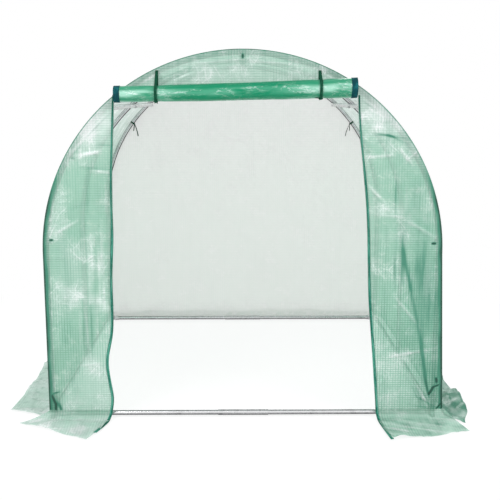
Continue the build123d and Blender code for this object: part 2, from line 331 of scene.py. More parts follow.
@dataclass(frozen=True)
class NetFilm(Finish):
    """Polythene film with a woven net inside, read from a UV map in metres.

    Three numbers on each corner steer it: pale is painted glare on crumpled film, deep is film
    that lies double or in a fold and also painted shade in valleys, in patches and in a band
    over the end hoop's tube, and net is how plainly its threads show. Over 1, deep is the
    painted shadow of something dark right behind the backlit film.
    """

    name: str = "net_film"
    film: Colour = (0.335, 0.510, 0.420)
    # painted glare: the colour where the film is pale
    pale: Colour = (0.72, 0.73, 0.735)
    # colour of film that lies double, and of painted shade
    deep: Colour = (0.022, 0.155, 0.098)
    shadow_behind: Colour = (0.003, 0.050, 0.030)  # painted shadow of something dark right behind the film, such as a tie's knot
    thread: Colour = (0.055, 0.23, 0.15)
    glow: Colour = (0.38, 0.56, 0.47)  # light that it scatters through
    glare: Colour = (0.88, 0.89, 0.90)  # the same where the film is pale, with painted glare
    tint: Colour = (0.70, 0.90, 0.81)  # light that goes straight through
    mesh_width: float = 0.0135
    mesh_height: float = 0.0118
    thread_width: float = 0.0034
    cover: float = 0.70  # how much of the film's cells hides what is behind
    thread_cover: float = 0.84
    passes: float = 0.45  # share of the hidden light that shines through
    crumples: float = 0.60  # strength of the small bright creases, painted glints
    streaked: float = 0.26  # strength of the upright darker streaks
    mottled: float = 1.0  # strength of the soft pale patches of painted glare
    gloss: float = 0.30

    def surface(self, tree: Tree) -> Added:
        """Build the film's shader.

        Args:
            tree: the material's empty tree.

        Returns:
            The shader's last node.
        """
        place, across, along = tree.cloth()
        pale, deep, net = (tree.tone(name) for name in ("pale", "deep", "net"))
        edge, core = self.thread_width * 0.75, self.thread_width * 0.25  # a thread's soft sides
        warp = across.fold(self.mesh_width / 2).rise(edge, core)
        weft = along.fold(self.mesh_height / 2).rise(edge, core)
        dense = tree.noise(tree.stretched(place, (5.0, 2.5, 1.0)), 1.0, 2.0)
        warp = warp * (dense.rise(0.42, 0.60) * 0.50 + net * 0.80 + 0.08)
        weft = weft * ((1.0 - dense).rise(0.30, 0.55) * 0.42 + net * 0.56 + 0.15)
        threads = (warp | weft) & 1.0
        patches = tree.noise(place, 7.0, 4.0, 0.6)
        streaks = tree.noise(tree.stretched(place, (30.0, 3.0, 1.0)), 1.0, 3.0)
        wrinkled = self._creases(tree, place, patches) * self.crumples
        mottle = tree.noise(place, 38.0, 3.0, 0.65)
        # soft patches of painted glare, added to the pale tone
        glare_patches = patches.rise(0.46, 0.68) * 0.42 + mottle.rise(0.52, 0.74) * 0.22
        glare_patches = glare_patches * self.mottled + pale
        pale = (wrinkled * (glare_patches * 0.8 + 0.35) + glare_patches * 0.75) & 1.0
        # painted shadow of something dark right behind the film, where deep is over 1
        shadow_behind = deep.rise(1.0, 1.5)
        deep = (deep + (1.0 - streaks).rise(0.46, 0.70) * self.streaked) & 1.0
        shade = tree.mix(self.film, self.pale, pale)
        shade = tree.mix(shade, self.thread, threads * (1.0 - pale * 0.5))
        shade = tree.mix(shade, self.deep, deep)
        shade = tree.mix(shade, self.shadow_behind, shadow_behind)
        cover = threads * (self.thread_cover - self.cover) + self.cover
        cover = cover | ((pale | deep) * 0.38 + self.cover * 0.95)
        height = patches * 0.5 + wrinkled * 0.4 + threads * 0.08
        normal = tree.bump(height, 0.008, 0.5)
        rough = (1.0 - pale) * 0.12 + self.gloss
        skin = tree.skin(shade, rough, {"IOR": 1.5, "Normal": normal})
        # brighter scattered light where the film is pale: painted glare
        dim = tree.add("ShaderNodeBsdfTranslucent", None, {"Color": self.glow})
        bright = tree.add("ShaderNodeBsdfTranslucent", None, {"Color": self.glare})
        through = tree.add("ShaderNodeMixShader", None, {0: pale, 1: dim, 2: bright})
        passes = (1.0 - threads * 0.62) * (1.0 - deep * 0.85) * (1.0 - shadow_behind) * self.passes
        body = tree.add("ShaderNodeMixShader", None, {0: passes, 1: skin, 2: through})
        clear = tree.add("ShaderNodeBsdfTransparent", None, {"Color": self.tint})
        return tree.add("ShaderNodeMixShader", None, {0: cover & 1.0, 1: clear, 2: body})

    @staticmethod
    def _creases(tree: Tree, place: bpy.types.NodeSocket, patches: Value) -> Value:
        """Mask of thin bright creases where crumpled film catches light.

        Args:
            tree: the material's tree.
            place: position on the film.
            patches: noise that picks where the film is crumpled.

        Returns:
            The mask, from 0 to 1.
        """
        bend = tree.add("ShaderNodeTexNoise", None, {"Vector": place, "Scale": 5.0}).out("Color")
        inputs = {0: bend, 1: (0.10, 0.10, 0.0), 2: place}
        bent = tree.add("ShaderNodeVectorMath", {"operation": "MULTIPLY_ADD"}, inputs).out()
        masks = []
        for scale, width, turn in ((9.0, 0.030, 0.5), (23.0, 0.050, -0.3), (55.0, 0.09, 0.9)):
            inputs = {"Vector": tree.stretched(bent, (1.0, 0.6, 1.0), turn), "Scale": scale}
            cells = tree.add("ShaderNodeTexVoronoi", {"feature": "DISTANCE_TO_EDGE"}, inputs)
            masks.append(cells.value("Distance").rise(width, 0.0))
        coarse, middle, fine = masks
        return (coarse * 0.8 | middle * 0.6 | fine * 0.4) * patches.rise(0.42, 0.60)


@dataclass(frozen=True)
class RolledFilm(Finish):
    """The same film in many layers, where its green is deep, with a painted reflection and painted
    glints.
    """

    name: str = "rolled_film"
    deep: Colour = (0.0005, 0.170, 0.080)
    mint: Colour = (0.13, 0.38, 0.27)
    # colour of the painted glints
    bright: Colour = (0.55, 0.70, 0.64)

    def surface(self, tree: Tree) -> Added:
        """Build the rolled film's shader.

        Args:
            tree: the material's empty tree.

        Returns:
            The shader's last node.
        """
        place, along, _ = tree.cloth()
        # pale tone of each corner: a painted reflection along the roll's middle and its under side
        streak = tree.tone("pale")
        folds = tree.noise(tree.stretched(place, (7.0, 60.0, 1.0), 0.04), 1.0, 4.0, 0.62)
        patches = tree.noise(tree.stretched(place, (9.0, 22.0, 1.0)), 1.0, 3.0)
        ends = (along + 0.03).fold(10.0).rise(0.20, 0.47)
        creased = patches.rise(0.52, 0.68) * 0.12 + folds.rise(0.54, 0.68) * 0.15
        # share of mint: the paler ends, the creases, and the painted reflection
        light = (ends * (streak * 0.42 + 0.16) + creased + streak * 0.36) & 1.0
        shade = tree.mix(self.deep, self.mint, light)
        strokes = tree.noise(tree.stretched(place, (16.0, 95.0, 1.0), 0.35), 1.0, 3.0, 0.55)
        creases = (strokes - 0.5).size().rise(0.035, 0.0) * patches.rise(0.38, 0.60) * 0.8
        # painted glints on the folds and creases
        glints = folds.rise(0.57, 0.68) * patches.rise(0.40, 0.60) | creases
        glints = glints * (streak * 0.75 + ends * 0.20 + 0.08) + ends * streak * 0.30
        shade = tree.mix(shade, self.bright, glints & 1.0)
        normal = tree.bump(folds + patches * 0.6 + creases * 0.3, 0.006, 0.8)
        return tree.skin(shade, 0.30, {"Specular IOR Level": 0.18, "Normal": normal})


@dataclass(frozen=True)
class Zinc(Finish):
    """Galvanised tube: faint spangle, and painted shade that darkens its flanks."""

    name: str = "zinc"
    base: Colour = (0.80, 0.80, 0.815)
    # darker zinc for the spangle and clouds, and for painted shade
    dull: Colour = (0.045, 0.046, 0.050)
    runs_back: bool = False  # a tube that lies along the tunnel
    shaded: float = 0.0  # how much painted shade darkens the under side of a level tube

    def surface(self, tree: Tree) -> Added:
        """Build the zinc's shader.

        Args:
            tree: the material's empty tree.

        Returns:
            The shader's last node.
        """
        coordinates = tree.add("ShaderNodeTexCoord")
        place = coordinates.out("Object")
        facing = tree.add("ShaderNodeSeparateXYZ", None, {0: coordinates.out("Normal")})
        front, upward = facing.value("Y").size(), facing.value("Z")
        cells = tree.add("ShaderNodeTexVoronoi", None, {"Vector": place, "Scale": 160.0})
        spangle = tree.add("ShaderNodeSeparateXYZ", None, {0: cells.out("Color")}).value("X")
        cloud = tree.noise(place, 24.0, 3.0)
        # Painted shade and reflection, by the way each face points: a tube is darker where it faces
        # aside, most of all underneath, and along the line that faces straight ahead; a tube along
        # the tunnel is darker on top and underneath, and a level tube across it darker underneath
        # and on top.
        under = upward.rise(0.60, -0.30) * 0.70 + 0.30
        flank = front.rise(0.95, 0.60) * under + front.rise(0.975, 0.995) * 0.34
        if self.runs_back:
            flank = upward.size().rise(0.70, 0.95) * 0.80
        if self.shaded:
            flank = flank + upward.rise(0.20, -0.40) * self.shaded
            flank = flank + upward.rise(0.70, 0.95) * self.shaded * 0.6
        # the spangle and clouds, and the painted shade of the flanks
        wear = (spangle * 0.16 + cloud.rise(0.50, 0.75) * 0.15 + flank) & 1.0
        shade = tree.mix(self.base, self.dull, wear)
        normal = tree.bump(cloud + spangle * 0.3, 0.0006, 0.4)
        rough = spangle * 0.14 + cloud * 0.12 + 0.20
        return tree.skin(shade, rough, {"Metallic": 1.0, "Normal": normal})


@dataclass(frozen=True)
class Webbing(Finish):
    """Woven tape or ribbon, read from a UV map in metres with X across it."""

    name: str = "ribbon"
    base: Colour = (0.002, 0.036, 0.018)
    light: Colour = (0.008, 0.085, 0.045)
    rib: float = 0.0016
    stitch: Colour = (0.55, 0.72, 0.66)
    stitched: float = 0.0
    shiny: Colour = (0.10, 0.36, 0.27)
    shines: float = 0.0  # strength of the painted sheen on stretches that catch light

    def surface(self, tree: Tree) -> Added:
        """Build the ribbon's shader.

        Args:
            tree: the material's empty tree.

        Returns:
            The shader's last node.
        """
        place, across, along = tree.cloth()
        ribs = along.fold(self.rib / 2) / (self.rib / 2)
        yarns = across.fold(self.rib / 2) / (self.rib / 2)
        wear = tree.noise(place, 60.0, 3.0)
        shade = tree.mix(self.base, self.light, ribs * 0.35 + wear.rise(0.45, 0.70) * 0.5)
        # painted sheen on stretches of the tape
        shine = tree.noise(tree.stretched(place, (90.0, 5.0, 1.0)), 1.0, 3.0, 0.6).rise(0.46, 0.60)
        shade = tree.mix(shade, self.shiny, shine * self.shines)
        dashes = along.fold(0.0030).rise(0.0012, 0.0018) * across.fold(10.0).rise(0.0062, 0.0056)
        row = across.fold(10.0).rise(0.0044, 0.0050)
        shade = tree.mix(shade, self.stitch, dashes * row * self.stitched)
        normal = tree.bump(ribs * 0.6 + yarns * 0.4, 0.0005, 0.6)
        return tree.skin(shade, 0.75, {"Specular IOR Level": 0.08, "Normal": normal})


@dataclass(frozen=True)
class Moulded(Finish):
    """Moulded black plastic with a fine grain."""

    name: str = "black_plastic"
    base: Colour = (0.018, 0.019, 0.020)
    scuffed: Colour = (0.07, 0.07, 0.07)

    def surface(self, tree: Tree) -> Added:
        """Build the plastic's shader.

        Args:
            tree: the material's empty tree.

        Returns:
            The shader's last node.
        """
        place = tree.add("ShaderNodeTexCoord").out("Object")
        grain = tree.noise(place, 900.0, 2.0)
        scuffs = tree.noise(place, 70.0, 3.0).rise(0.55, 0.75)
        shade = tree.mix(self.base, self.scuffed, scuffs * 0.5)
        return tree.skin(shade, scuffs * 0.2 + 0.42, {"Normal": tree.bump(grain, 0.0003, 0.5)})


FILM = NetFilm()
ROOF_FILM = NetFilm(name="roof_film", crumples=0.45, mottled=0.35)
# The same film as the front wall's, made paler and greyer: painted backlight from the white behind
# it, and a pinkish painted glare.
BACK_FILM = NetFilm(
    name="back_film",
    film=(0.575, 0.600, 0.575),
    pale=(0.67, 0.615, 0.645),
    deep=(0.060, 0.250, 0.170),
    thread=(0.440, 0.530, 0.480),
    glow=(0.62, 0.64, 0.615),
    glare=(0.69, 0.645, 0.67),
    tint=(0.95, 0.96, 0.95),
    cover=0.66,
    thread_cover=0.70,
    crumples=0.0,
    streaked=0.03,
    mottled=0.6,
)
ROLLED = RolledFilm()
ZINC = Zinc()
ZINC_ALONG = Zinc(name="zinc_along", runs_back=True)
ZINC_ACROSS = Zinc(name="zinc_across", shaded=0.55)
RIBBON = Webbing()
BINDING = Webbing(
    name="door_binding",
    base=(0.004, 0.085, 0.055),
    light=(0.03, 0.19, 0.135),
    stitched=0.35,
    shines=0.55,
)
ROLL_TAPE = Webbing(name="roll_tape", base=(0.001, 0.022, 0.030), light=(0.008, 0.12, 0.13))
PLASTIC = Moulded()


# ------------------------------------------------------------------ meshes


class MeshMaker:
    """Collects faces with UVs and turns them into one object."""

    def __init__(self) -> None:
        """Start empty."""
        self.points: list[Point] = []
        self.faces: list[tuple[int, ...]] = []
        self.uvs: list[tuple[float, float]] = []
        self.tones: dict[str, list[float]] = {"pale": [], "deep": [], "net": []}

    def add_point(self, point: Iterable[float], uv: tuple[float, float] = (0.0, 0.0)) -> int:
        """Add a corner.

        Args:
            point: its place in metres.
            uv: its place on the flat cloth, in metres.

        Returns:
            The corner's number.
        """
        self.points.append(tuple(point))
        self.uvs.append(uv)
        return len(self.points) - 1

    def add_grid(
        self,
        places: Array,
        flat: Array,
        tones: Optional[Tones] = None,
        flip: bool = False,
    ) -> None:
        """Add a grid of quads.

        Args:
            places: an array of rows by columns by 3.
            flat: an array of rows by columns by 2, the places on the flat cloth.
            tones: arrays of rows by columns, by the name of the tone.
            flip: turn the faces over.
        """
        rows, columns = places.shape[:2]
        start = len(self.points)
        self.points += [tuple(p) for p in places.reshape(-1, 3).tolist()]
        self.uvs += [tuple(p) for p in flat.reshape(-1, 2).tolist()]
        for name, tone in (tones or {}).items():
            self.tones[name] += tone.ravel().tolist()
        for row in range(rows - 1):
            below, above = start + row * columns, start + (row + 1) * columns
            for column in range(columns - 1):
                face = (below + column, below + column + 1, above + column + 1, above + column)
                self.faces.append(face[::-1] if flip else face)

    def add_strip(
        self,
        path: Sequence[Vector],
        across: Sequence[Vector],
        width: float,
        thick: float,
        loop: bool = False,
    ) -> None:
        """Add a flat strip with a rectangular section along a path.

        Args:
            path: middle points of the strip.
            across: direction of the strip's width at each point.
            width: the strip's width.
            thick: the strip's thickness.
            loop: join the end to the start.
        """
        count = len(path)
        start = len(self.points)
        run = 0.0
        for place, (point, wide) in enumerate(zip(path, across)):
            before = path[place - 1] if place or loop else point
            after = path[(place + 1) % count] if place + 1 < count or loop else point
            ahead = (after - before).normalized()
            up = wide.cross(ahead).normalized() * (thick / 2)
            wide = wide.normalized() * (width / 2)
            if place:
                run += (point - path[place - 1]).length
            for corner, u in ((wide + up, 1), (up - wide, -1), (-wide - up, -1), (wide - up, 1)):
                self.add_point(point + corner, (u * width / 2, run))
        for place in range(count if loop else count - 1):
            here, there = start + 4 * place, start + 4 * ((place + 1) % count)
            for corner in range(4):
                after = (corner + 1) % 4
                self.faces.append((here + corner, here + after, there + after, there + corner))
        if not loop:
            last = start + 4 * (count - 1)
            self.faces.append((start + 3, start + 2, start + 1, start))
            self.faces.append((last, last + 1, last + 2, last + 3))

    def add_turned(self, frame: Matrix, profile: Profile, sides: int) -> None:
        """Add a turned shape with closed ends.

        Args:
            frame: its place, turned about the frame's Z axis.
            profile: radius and height at each step, from one end to the other.
            sides: how many sides a ring has.
        """
        turns = [tau * side / sides for side in range(sides)]
        rings = []
        for radius, height in profile:
            ring = []
            for turn in turns:
                point = frame @ Vector((radius * cos(turn), radius * sin(turn), height))
                ring.append(self.add_point(point, (radius * turn, height)))
            rings.append(ring)
        for low, high in zip(rings, rings[1:]):
            for side in range(sides):
                after = (side + 1) % sides
                self.faces.append((low[side], low[after], high[after], high[side]))
        self.faces.append(tuple(reversed(rings[0])))
        self.faces.append(tuple(rings[-1]))

    def build(self, name: str, finish: Finish, smooth: bool = True) -> bpy.types.Object:
        """Make the object.

        Args:
            name: the object's name.
            finish: its material.
            smooth: shade it smooth.

        Returns:
            The new object, linked to the scene.
        """
        mesh = bpy.data.meshes.new(name)
        mesh.from_pydata(self.points, [], self.faces)
        layer = mesh.uv_layers.new(name="UVMap")
        corners = np.zeros(len(mesh.loops), dtype=np.int32)
        mesh.loops.foreach_get("vertex_index", corners)
        layer.data.foreach_set("uv", np.array(self.uvs, dtype=np.float32)[corners].ravel())
        for tone, values in self.tones.items():
            if len(values) == len(self.points):
                kept = mesh.attributes.new(tone, "FLOAT", "POINT")
                kept.data.foreach_set("value", np.array(values, dtype=np.float32))
        mesh.polygons.foreach_set("use_smooth", [smooth] * len(mesh.polygons))
        mesh.materials.append(finish.material())
        mesh.validate()
        made = bpy.data.objects.new(name, mesh)
        bpy.context.scene.collection.objects.link(made)
        log.info("%s: %d faces", name, len(self.faces))
        return made


def frame_along(at: Vector, axis: Vector) -> Matrix:
    """Frame at a point, with its Z axis along a direction."""
    return Matrix.Translation(at) @ axis.to_track_quat("Z", "Y").to_matrix().to_4x4()


def ease(value: Amount, low: float, high: float) -> Amount:
    """Ramp smoothly from 0 at low to 1 at high."""
    share = np.clip((value - low) / (high - low), 0.0, 1.0)
    return share * share * (3.0 - 2.0 * share)


def rough_field(u: Array, v: Array, scale: tuple[float, float], seed: float) -> Array:
    """Smooth random field from -1 to 1.

    Args:
        u: first coordinate of each point.
        v: second coordinate of each point.
        scale: how many features there are to a metre along each.
        seed: which field is taken.

    Returns:
        The field's value at each point.
    """
    flat = zip((u * scale[0]).ravel().tolist(), (v * scale[1]).ravel().tolist())
    values = [noise.noise((a, b, seed)) for a, b in flat]
    return np.array(values).reshape(u.shape)


@dataclass(frozen=True)
class Mark:
    """A crease, or a patch of painted glare or shade, on a sheet: what it does to the height and to
    the tones.
    """

    u: float
    v: float
    angle: float  # degrees from the first axis
    reach: float
    width: float
    height: float = 0.0
    pale: float = 0.0
    deep: float = 0.0

    def share(self, u: Array, v: Array) -> Array:
        """Strength of the mark over each point of the flat cloth.

        Args:
            u: first coordinate of each point.
            v: second coordinate of each point.

        Returns:
            The strength, from 0 to 1.
        """
        turn = radians(self.angle)
        along = (u - self.u) * cos(turn) + (v - self.v) * sin(turn)
        off = (v - self.v) * cos(turn) - (u - self.u) * sin(turn)
        fade = np.clip(1.0 - (along / self.reach) ** 2, 0.0, 1.0)
        return fade * np.exp(-((off / self.width) ** 2))


@dataclass(frozen=True)
class Wear:
    """The creases that folding and handling left on one sheet, with patches of painted glare and
    shade and painted shadows of things behind it.
    """

    marks: Sequence[Mark]

    def field_of(self, u: Array, v: Array, what: str) -> Array:
        """Sum of one property of the marks over each point.

        Args:
            u: first coordinate of each point.
            v: second coordinate of each point.
            what: the property's name.

        Returns:
            The sum at each point.
        """
        total = np.zeros_like(u)
        for mark in self.marks:
            if getattr(mark, what):
                total += getattr(mark, what) * mark.share(u, v)
        return total


def draw_creases(
    count: int, seed: int, low: tuple[float, float], high: tuple[float, float], height: float
) -> list[Mark]:
    """Draw small creases at random over a sheet, some with painted glare.

    Args:
        count: how many there are.
        seed: seed of the random draw.
        low: lowest flat place.
        high: highest flat place.
        height: height of a strong crease.

    Returns:
        The creases.
    """
    draw = random.Random(seed)
    return [
        Mark(
            draw.uniform(low[0], high[0]),
            draw.uniform(low[1], high[1]),
            draw.choice((0.0, 90.0, draw.uniform(0, 180), draw.uniform(0, 180))),
            draw.uniform(0.05, 0.30),
            draw.uniform(0.006, 0.025),
            height * draw.uniform(-1.0, 1.0),
            # painted glare on some of the creases
            max(0.0, draw.uniform(-0.35, 0.35)),
        )
        for _ in range(count)
    ]


class Kind(Enum):
    """A kind of crease or patch: its width, its height, and its pale and deep tones."""

    GLINT = (0.008, 0.005, 0.75, 0)  # bright crest with a painted glint
    GLEAM = (0.006, 0.003, 0.4, 0)  # faint crest with a faint painted glint
    DENT = (0.005, -0.003, 0, 0.38)  # faint valley, darkened with painted shade
    CREASE = (0.006, -0.004, 0, 0.6)  # sharp valley, darkened with painted shade
    CRUMPLE = (0.035, 0.004, 0.5, 0)  # crumpled patch with painted glare
    GLARE = (0.09, 0, 0.75, 0)  # patch that mirrors the sky
    SOFT_GLARE = (0.08, 0, 0.3, 0)  # softer patch of painted glare
    SHADE = (0.06, 0, 0, 0.22)  # patch of painted shade
    DUSK = (0.08, 0, 0, 0.4)  # stronger patch of painted shade
    FOLD = (0.01, -0.005, 0, 0.36)  # where the film lies double
    PRESSED = (0.013, -0.001, 0, 0.28)  # flattened fold
    KNOT = (0.006, 0, 0, 2)  # painted shadow of a tie's knot behind the film
    KNOT_TAIL = (0.005, 0, 0, 1.5)  # painted shadow of a tie's tail behind the film

    def at(self, *places: tuple[float, float, float, float]) -> list[Mark]:
        """Marks of this kind, each at (across, up, angle in degrees, reach)."""
        return [Mark(*place, *self.value) for place in places]


# The front wall's creases and its patches of painted glare, shade and shadow, in metres across the
# wall and over the ground.
FRONT_MARKS = [
    *Kind.GLINT.at(
        (-0.875, 1, 30, 0.075), (-0.755, 1.365, 10, 0.07), (-0.69, 1.275, -5, 0.06),
        (0.655, 1.17, -45, 0.075), (0.67, 1.35, 5, 0.09), (0.8, 1.35, -50, 0.07),
        (0.835, 0.56, -50, 0.13), (0.87, 0.35, 10, 0.15), (0.875, 0.995, -30, 0.12),
        (0.975, 0.795, -15, 0.02),
    ),
    *Kind.GLEAM.at(
        (-0.825, 0.485, 90, 0.15), (-0.79, 0.47, -86, 0.17), (-0.78, 0.29, 5, 0.08),
        (-0.77, 0.75, 90, 0.155), (-0.755, 0.84, 90, 0.175), (-0.75, 1.36, 20, 0.075),
        (-0.74, 1.47, 45, 0.17), (-0.74, 0.505, 90, 0.13), (-0.72, 0.73, 90, 0.18),
        (-0.715, 1.49, 50, 0.06), (-0.705, 0.88, 90, 0.165), (-0.7, 0.665, 90, 0.14),
        (-0.675, 1.145, 90, 0.1), (-0.445, 1.73, 30, 0.06), (-0.44, 1.73, 30, 0.07),
        (-0.31, 1.725, 20, 0.075), (-0.115, 1.805, 5, 0.17), (0.135, 1.8, -5, 0.115),
        (0.645, 1.585, -35, 0.08), (0.665, 1.49, -10, 0.045), (0.735, 1.055, -5, 0.09),
        (0.81, 1.15, 90, 0.075), (0.915, 0.135, -60, 0.13), (0.92, 0.3, 10, 0.08),
        (0.925, 0.215, -67, 0.11), (0.93, 0.11, -64, 0.075), (0.94, 0.095, -35, 0.09),
    ),
    *Kind.DENT.at(
        (-0.875, 0.48, 90, 0.06), (-0.815, 1.375, 45, 0.065), (-0.81, 0.5, 90, 0.15),
        (-0.805, 0.445, 90, 0.15), (-0.78, 0.915, 90, 0.205), (-0.765, 0.48, 90, 0.185),
        (-0.745, 0.69, 90, 0.17), (-0.735, 0.82, 90, 0.16), (-0.71, 1.495, 45, 0.115),
        (-0.36, 1.735, 20, 0.105), (0.205, 1.81, -15, 0.095), (0.615, 1.595, -30, 0.05),
        (0.655, 1.515, 0, 0.09), (0.76, 0.785, -87, 0.115), (0.765, 0.865, 90, 0.22),
        (0.89, 0.125, -64, 0.12), (0.915, 0.105, -64, 0.095), (0.93, 0.055, -10, 0.1),
        (0.95, 0.09, -69, 0.065), (0.95, 0.08, -30, 0.08), (0.995, 0.09, 77, 0.055),
    ),
    *Kind.CREASE.at(
        (-0.98, 0.085, -81, 0.055), (-0.952, 0.075, -72, 0.05), (-0.94, 0.06, -78, 0.04),
        (-0.83, 1.34, -5, 0.02), (-0.77, 0.465, 90, 0.17), (-0.72, 1.29, -5, 0.09),
        (-0.675, 1.405, -5, 0.05), (0.67, 1.455, -5, 0.075), (0.74, 1.445, -10, 0.1),
        (0.755, 1.15, 90, 0.115), (0.76, 1.43, -25, 0.07), (0.935, 0.235, -80, 0.14),
        (0.95, 0.15, -75, 0.1),
    ),
    *Kind.CRUMPLE.at(
        (-0.88, 0.66, -20, 0.08), (-0.78, 0.3, -10, 0.06), (-0.73, 0.63, 0, 0.07),
        (-0.71, 0.82, 80, 0.09), (0.72, 1.08, 0, 0.12), (0.71, 0.28, 3, 0.12),
    ),
    *Kind.GLARE.at((-0.71, 1.49, 45, 0.19), (0.64, 1.56, -40, 0.17)),
    *Kind.SOFT_GLARE.at(
        (-0.86, 0.76, 90, 0.2), (-0.74, 0.14, 90, 0.24), (0, 1.74, 0, 1.1),
        (0.77, 1.47, -45, 0.2), (0.91, 1.1, 60, 0.09), (0.92, 0.72, 40, 0.08),
    ),
    *Kind.SHADE.at(
        (-0.9, 0.42, 90, 0.28), (-0.86, 0.85, 90, 0.28), (-0.7, 1.14, 90, 0.12),
        (0.8, 1.25, 90, 0.16), (0.82, 0.42, 90, 0.12), (0.88, 1.12, 75, 0.22),
    ),
    *Kind.DUSK.at((0.89, 0.78, 90, 0.34), (0.94, 0.47, 90, 0.42)),
    *Kind.FOLD.at(
        (-0.765, 1.17, 87, 0.2), (-0.325, 1.725, 30, 0.1), (0.815, 0.84, -78, 0.2),
        (0.83, 0.74, -77, 0.235), (0.9, 0.43, -79, 0.22),
    ),
    *Kind.PRESSED.at(
        (-0.963, 0.075, 90, 0.06), (-0.945, 0.065, -75, 0.05), (-0.93, 0.055, -70, 0.04),
        (-0.82, 1.1, 20, 0.07), (0.68, 1.42, 10, 0.035), (0.8, 0.84, 90, 0.195),
        (0.8, 0.79, -86, 0.11), (0.85, 1.16, 90, 0.105),
    ),
    *Kind.KNOT.at(
        (-0.975, 0.105, -72, 0.04), (-0.965, 0.055, 90, 0.035), (-0.955, 0.935, 0, 0.015),
        (0, 1.83, 90, 0.015), (0.955, 0.915, 0, 0.015), (0.97, 0.145, 62, 0.03),
        (0.995, 0.2, -79, 0.02),
    ),
    *Kind.KNOT_TAIL.at(
        (-0.96, 0.14, 16, 0.025), (0.995, 0.17, 23, 0.03), (1.01, 0.06, 55, 0.04),
    ),
]


# ------------------------------------------------------------------ sizes


@dataclass
class Sizes:
    """Main sizes of the tunnel in metres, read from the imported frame."""

    half_width: float = field(init=False)
    half_length: float = field(init=False)
    spring: float = field(init=False)
    top: float = field(init=False)
    root: float = field(init=False)
    film: float = field(init=False)
    door_top: float = field(init=False)
    door_half_top: float = field(init=False)
    door_half_foot: float = field(init=False)
    end_reach: float = field(init=False)
    leg_x: float = field(init=False)
    hoop_y: float = field(init=False)
    tube: float = field(init=False)
    radius: float = field(init=False)
    flare: float = 0.034  # how far the right side's foot stands out
    flare_from: float = 0.9  # how far to the right the cover has to be for that
    hang: float = 0.42  # share of its root's height over which a skirt hangs straight
    lie: float = 0.0022  # height of the film that lies on the ground
    bend: float = 0.016  # half the length over which a skirt bends

    def __post_init__(self) -> None:
        """Read every size from the frame's nodes."""
        side_low, side_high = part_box("side_cover_right")
        self.half_width, self.half_length = side_high.x, side_high.y
        self.root, self.spring = side_low.z, side_high.z
        self.film = side_high.x - side_low.x
        self.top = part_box("roof_cover_right")[1].z
        self.door_half_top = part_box("front_wall_right")[0].x
        self.door_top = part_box("front_wall_top")[0].z
        self.door_half_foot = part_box("skirt_front_right")[0].x
        self.end_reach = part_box("skirt_back")[1].y - self.half_length
        leg_low, leg_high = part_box("back_leg_right")
        self.leg_x = (leg_low.x + leg_high.x) / 2
        self.hoop_y = (leg_low.y + leg_high.y) / 2
        self.tube = (leg_high.x - leg_low.x) / 2
        self.radius = self.half_width - self.film / 2

    def arch_half(self, z: Array) -> Array:
        """Half width of an end wall at a height."""
        over = np.clip(z - self.spring, 0.0, self.radius)
        return np.sqrt(np.clip(self.radius**2 - over**2, 0.0, None))

    def spread(self, x: Array, z: Array) -> Array:
        """How far the cover stands out at the foot of its right side."""
        foot = np.where(x > self.flare_from, self.flare, 0.0)
        return foot * np.clip(1.0 - z / self.spring, 0.0, 1.0)

    def skirt_path(self, run: Array, landing: float = 0.055) -> tuple[Array, Array]:
        """Section of a skirt below its root.

        Args:
            run: distance along the cloth from the root.
            landing: how far out it reaches the ground.

        Returns:
            How far out it is and how high, at each distance.
        """
        fold = self.root * self.hang
        slope = hypot(landing, self.root - fold - self.lie)
        knots = np.array([0.0, fold, fold + slope, fold + slope + 1.0])
        outs = np.array([0.0, 0.0, landing, landing + 1.0])
        heights = np.array([self.root, self.root - fold, self.lie, self.lie])
        soft = np.linspace(-self.bend, self.bend, 9)
        shifted = [np.clip(run + s * ease(run, 0.0, 0.02), 0.0, None) for s in soft]
        out = np.mean([np.interp(s, knots, outs) for s in shifted], axis=0)
        height = np.mean([np.interp(s, knots, heights) for s in shifted], axis=0)
        return out, height


# ------------------------------------------------------------------ cover


@dataclass(frozen=True)
class SideSkirt:
    """Shape and tones of the skirt along one side, as it lies on the ground."""

    reach: float  # depth of the cloth
    phase: float  # where the hem's slow wave starts
    cut: float  # share of the depth that is missing at the front end
    front_lean: float  # how far the front end slants back toward the hem
    seed: float
    lift: float  # height of the highest folds
    deep: tuple[float, float, float]  # dark tone, painted shade over the whole skirt, and its share of clouds and of specks
    dark_edge: float  # how much darker the skirt is near its outer edge
    pale: tuple[float, float, float]  # pale tone, painted light over the whole skirt, and its share of waves and of clouds


SIDE_SKIRTS = {
    Side.LEFT: SideSkirt(
        0.250, 1.0, 0.0, 0.110, 11.3, 0.020, (0.08, 0.2, 0.5), 0.0, (0.60, 0.35, 0.0)
    ),
    Side.RIGHT: SideSkirt(
        0.175, 5.6, 0.30, -0.085, 17.9, 0.040, (0.76, 0.4, 0.2), 0.3, (0.34, 0.0, -0.5)
    ),
}


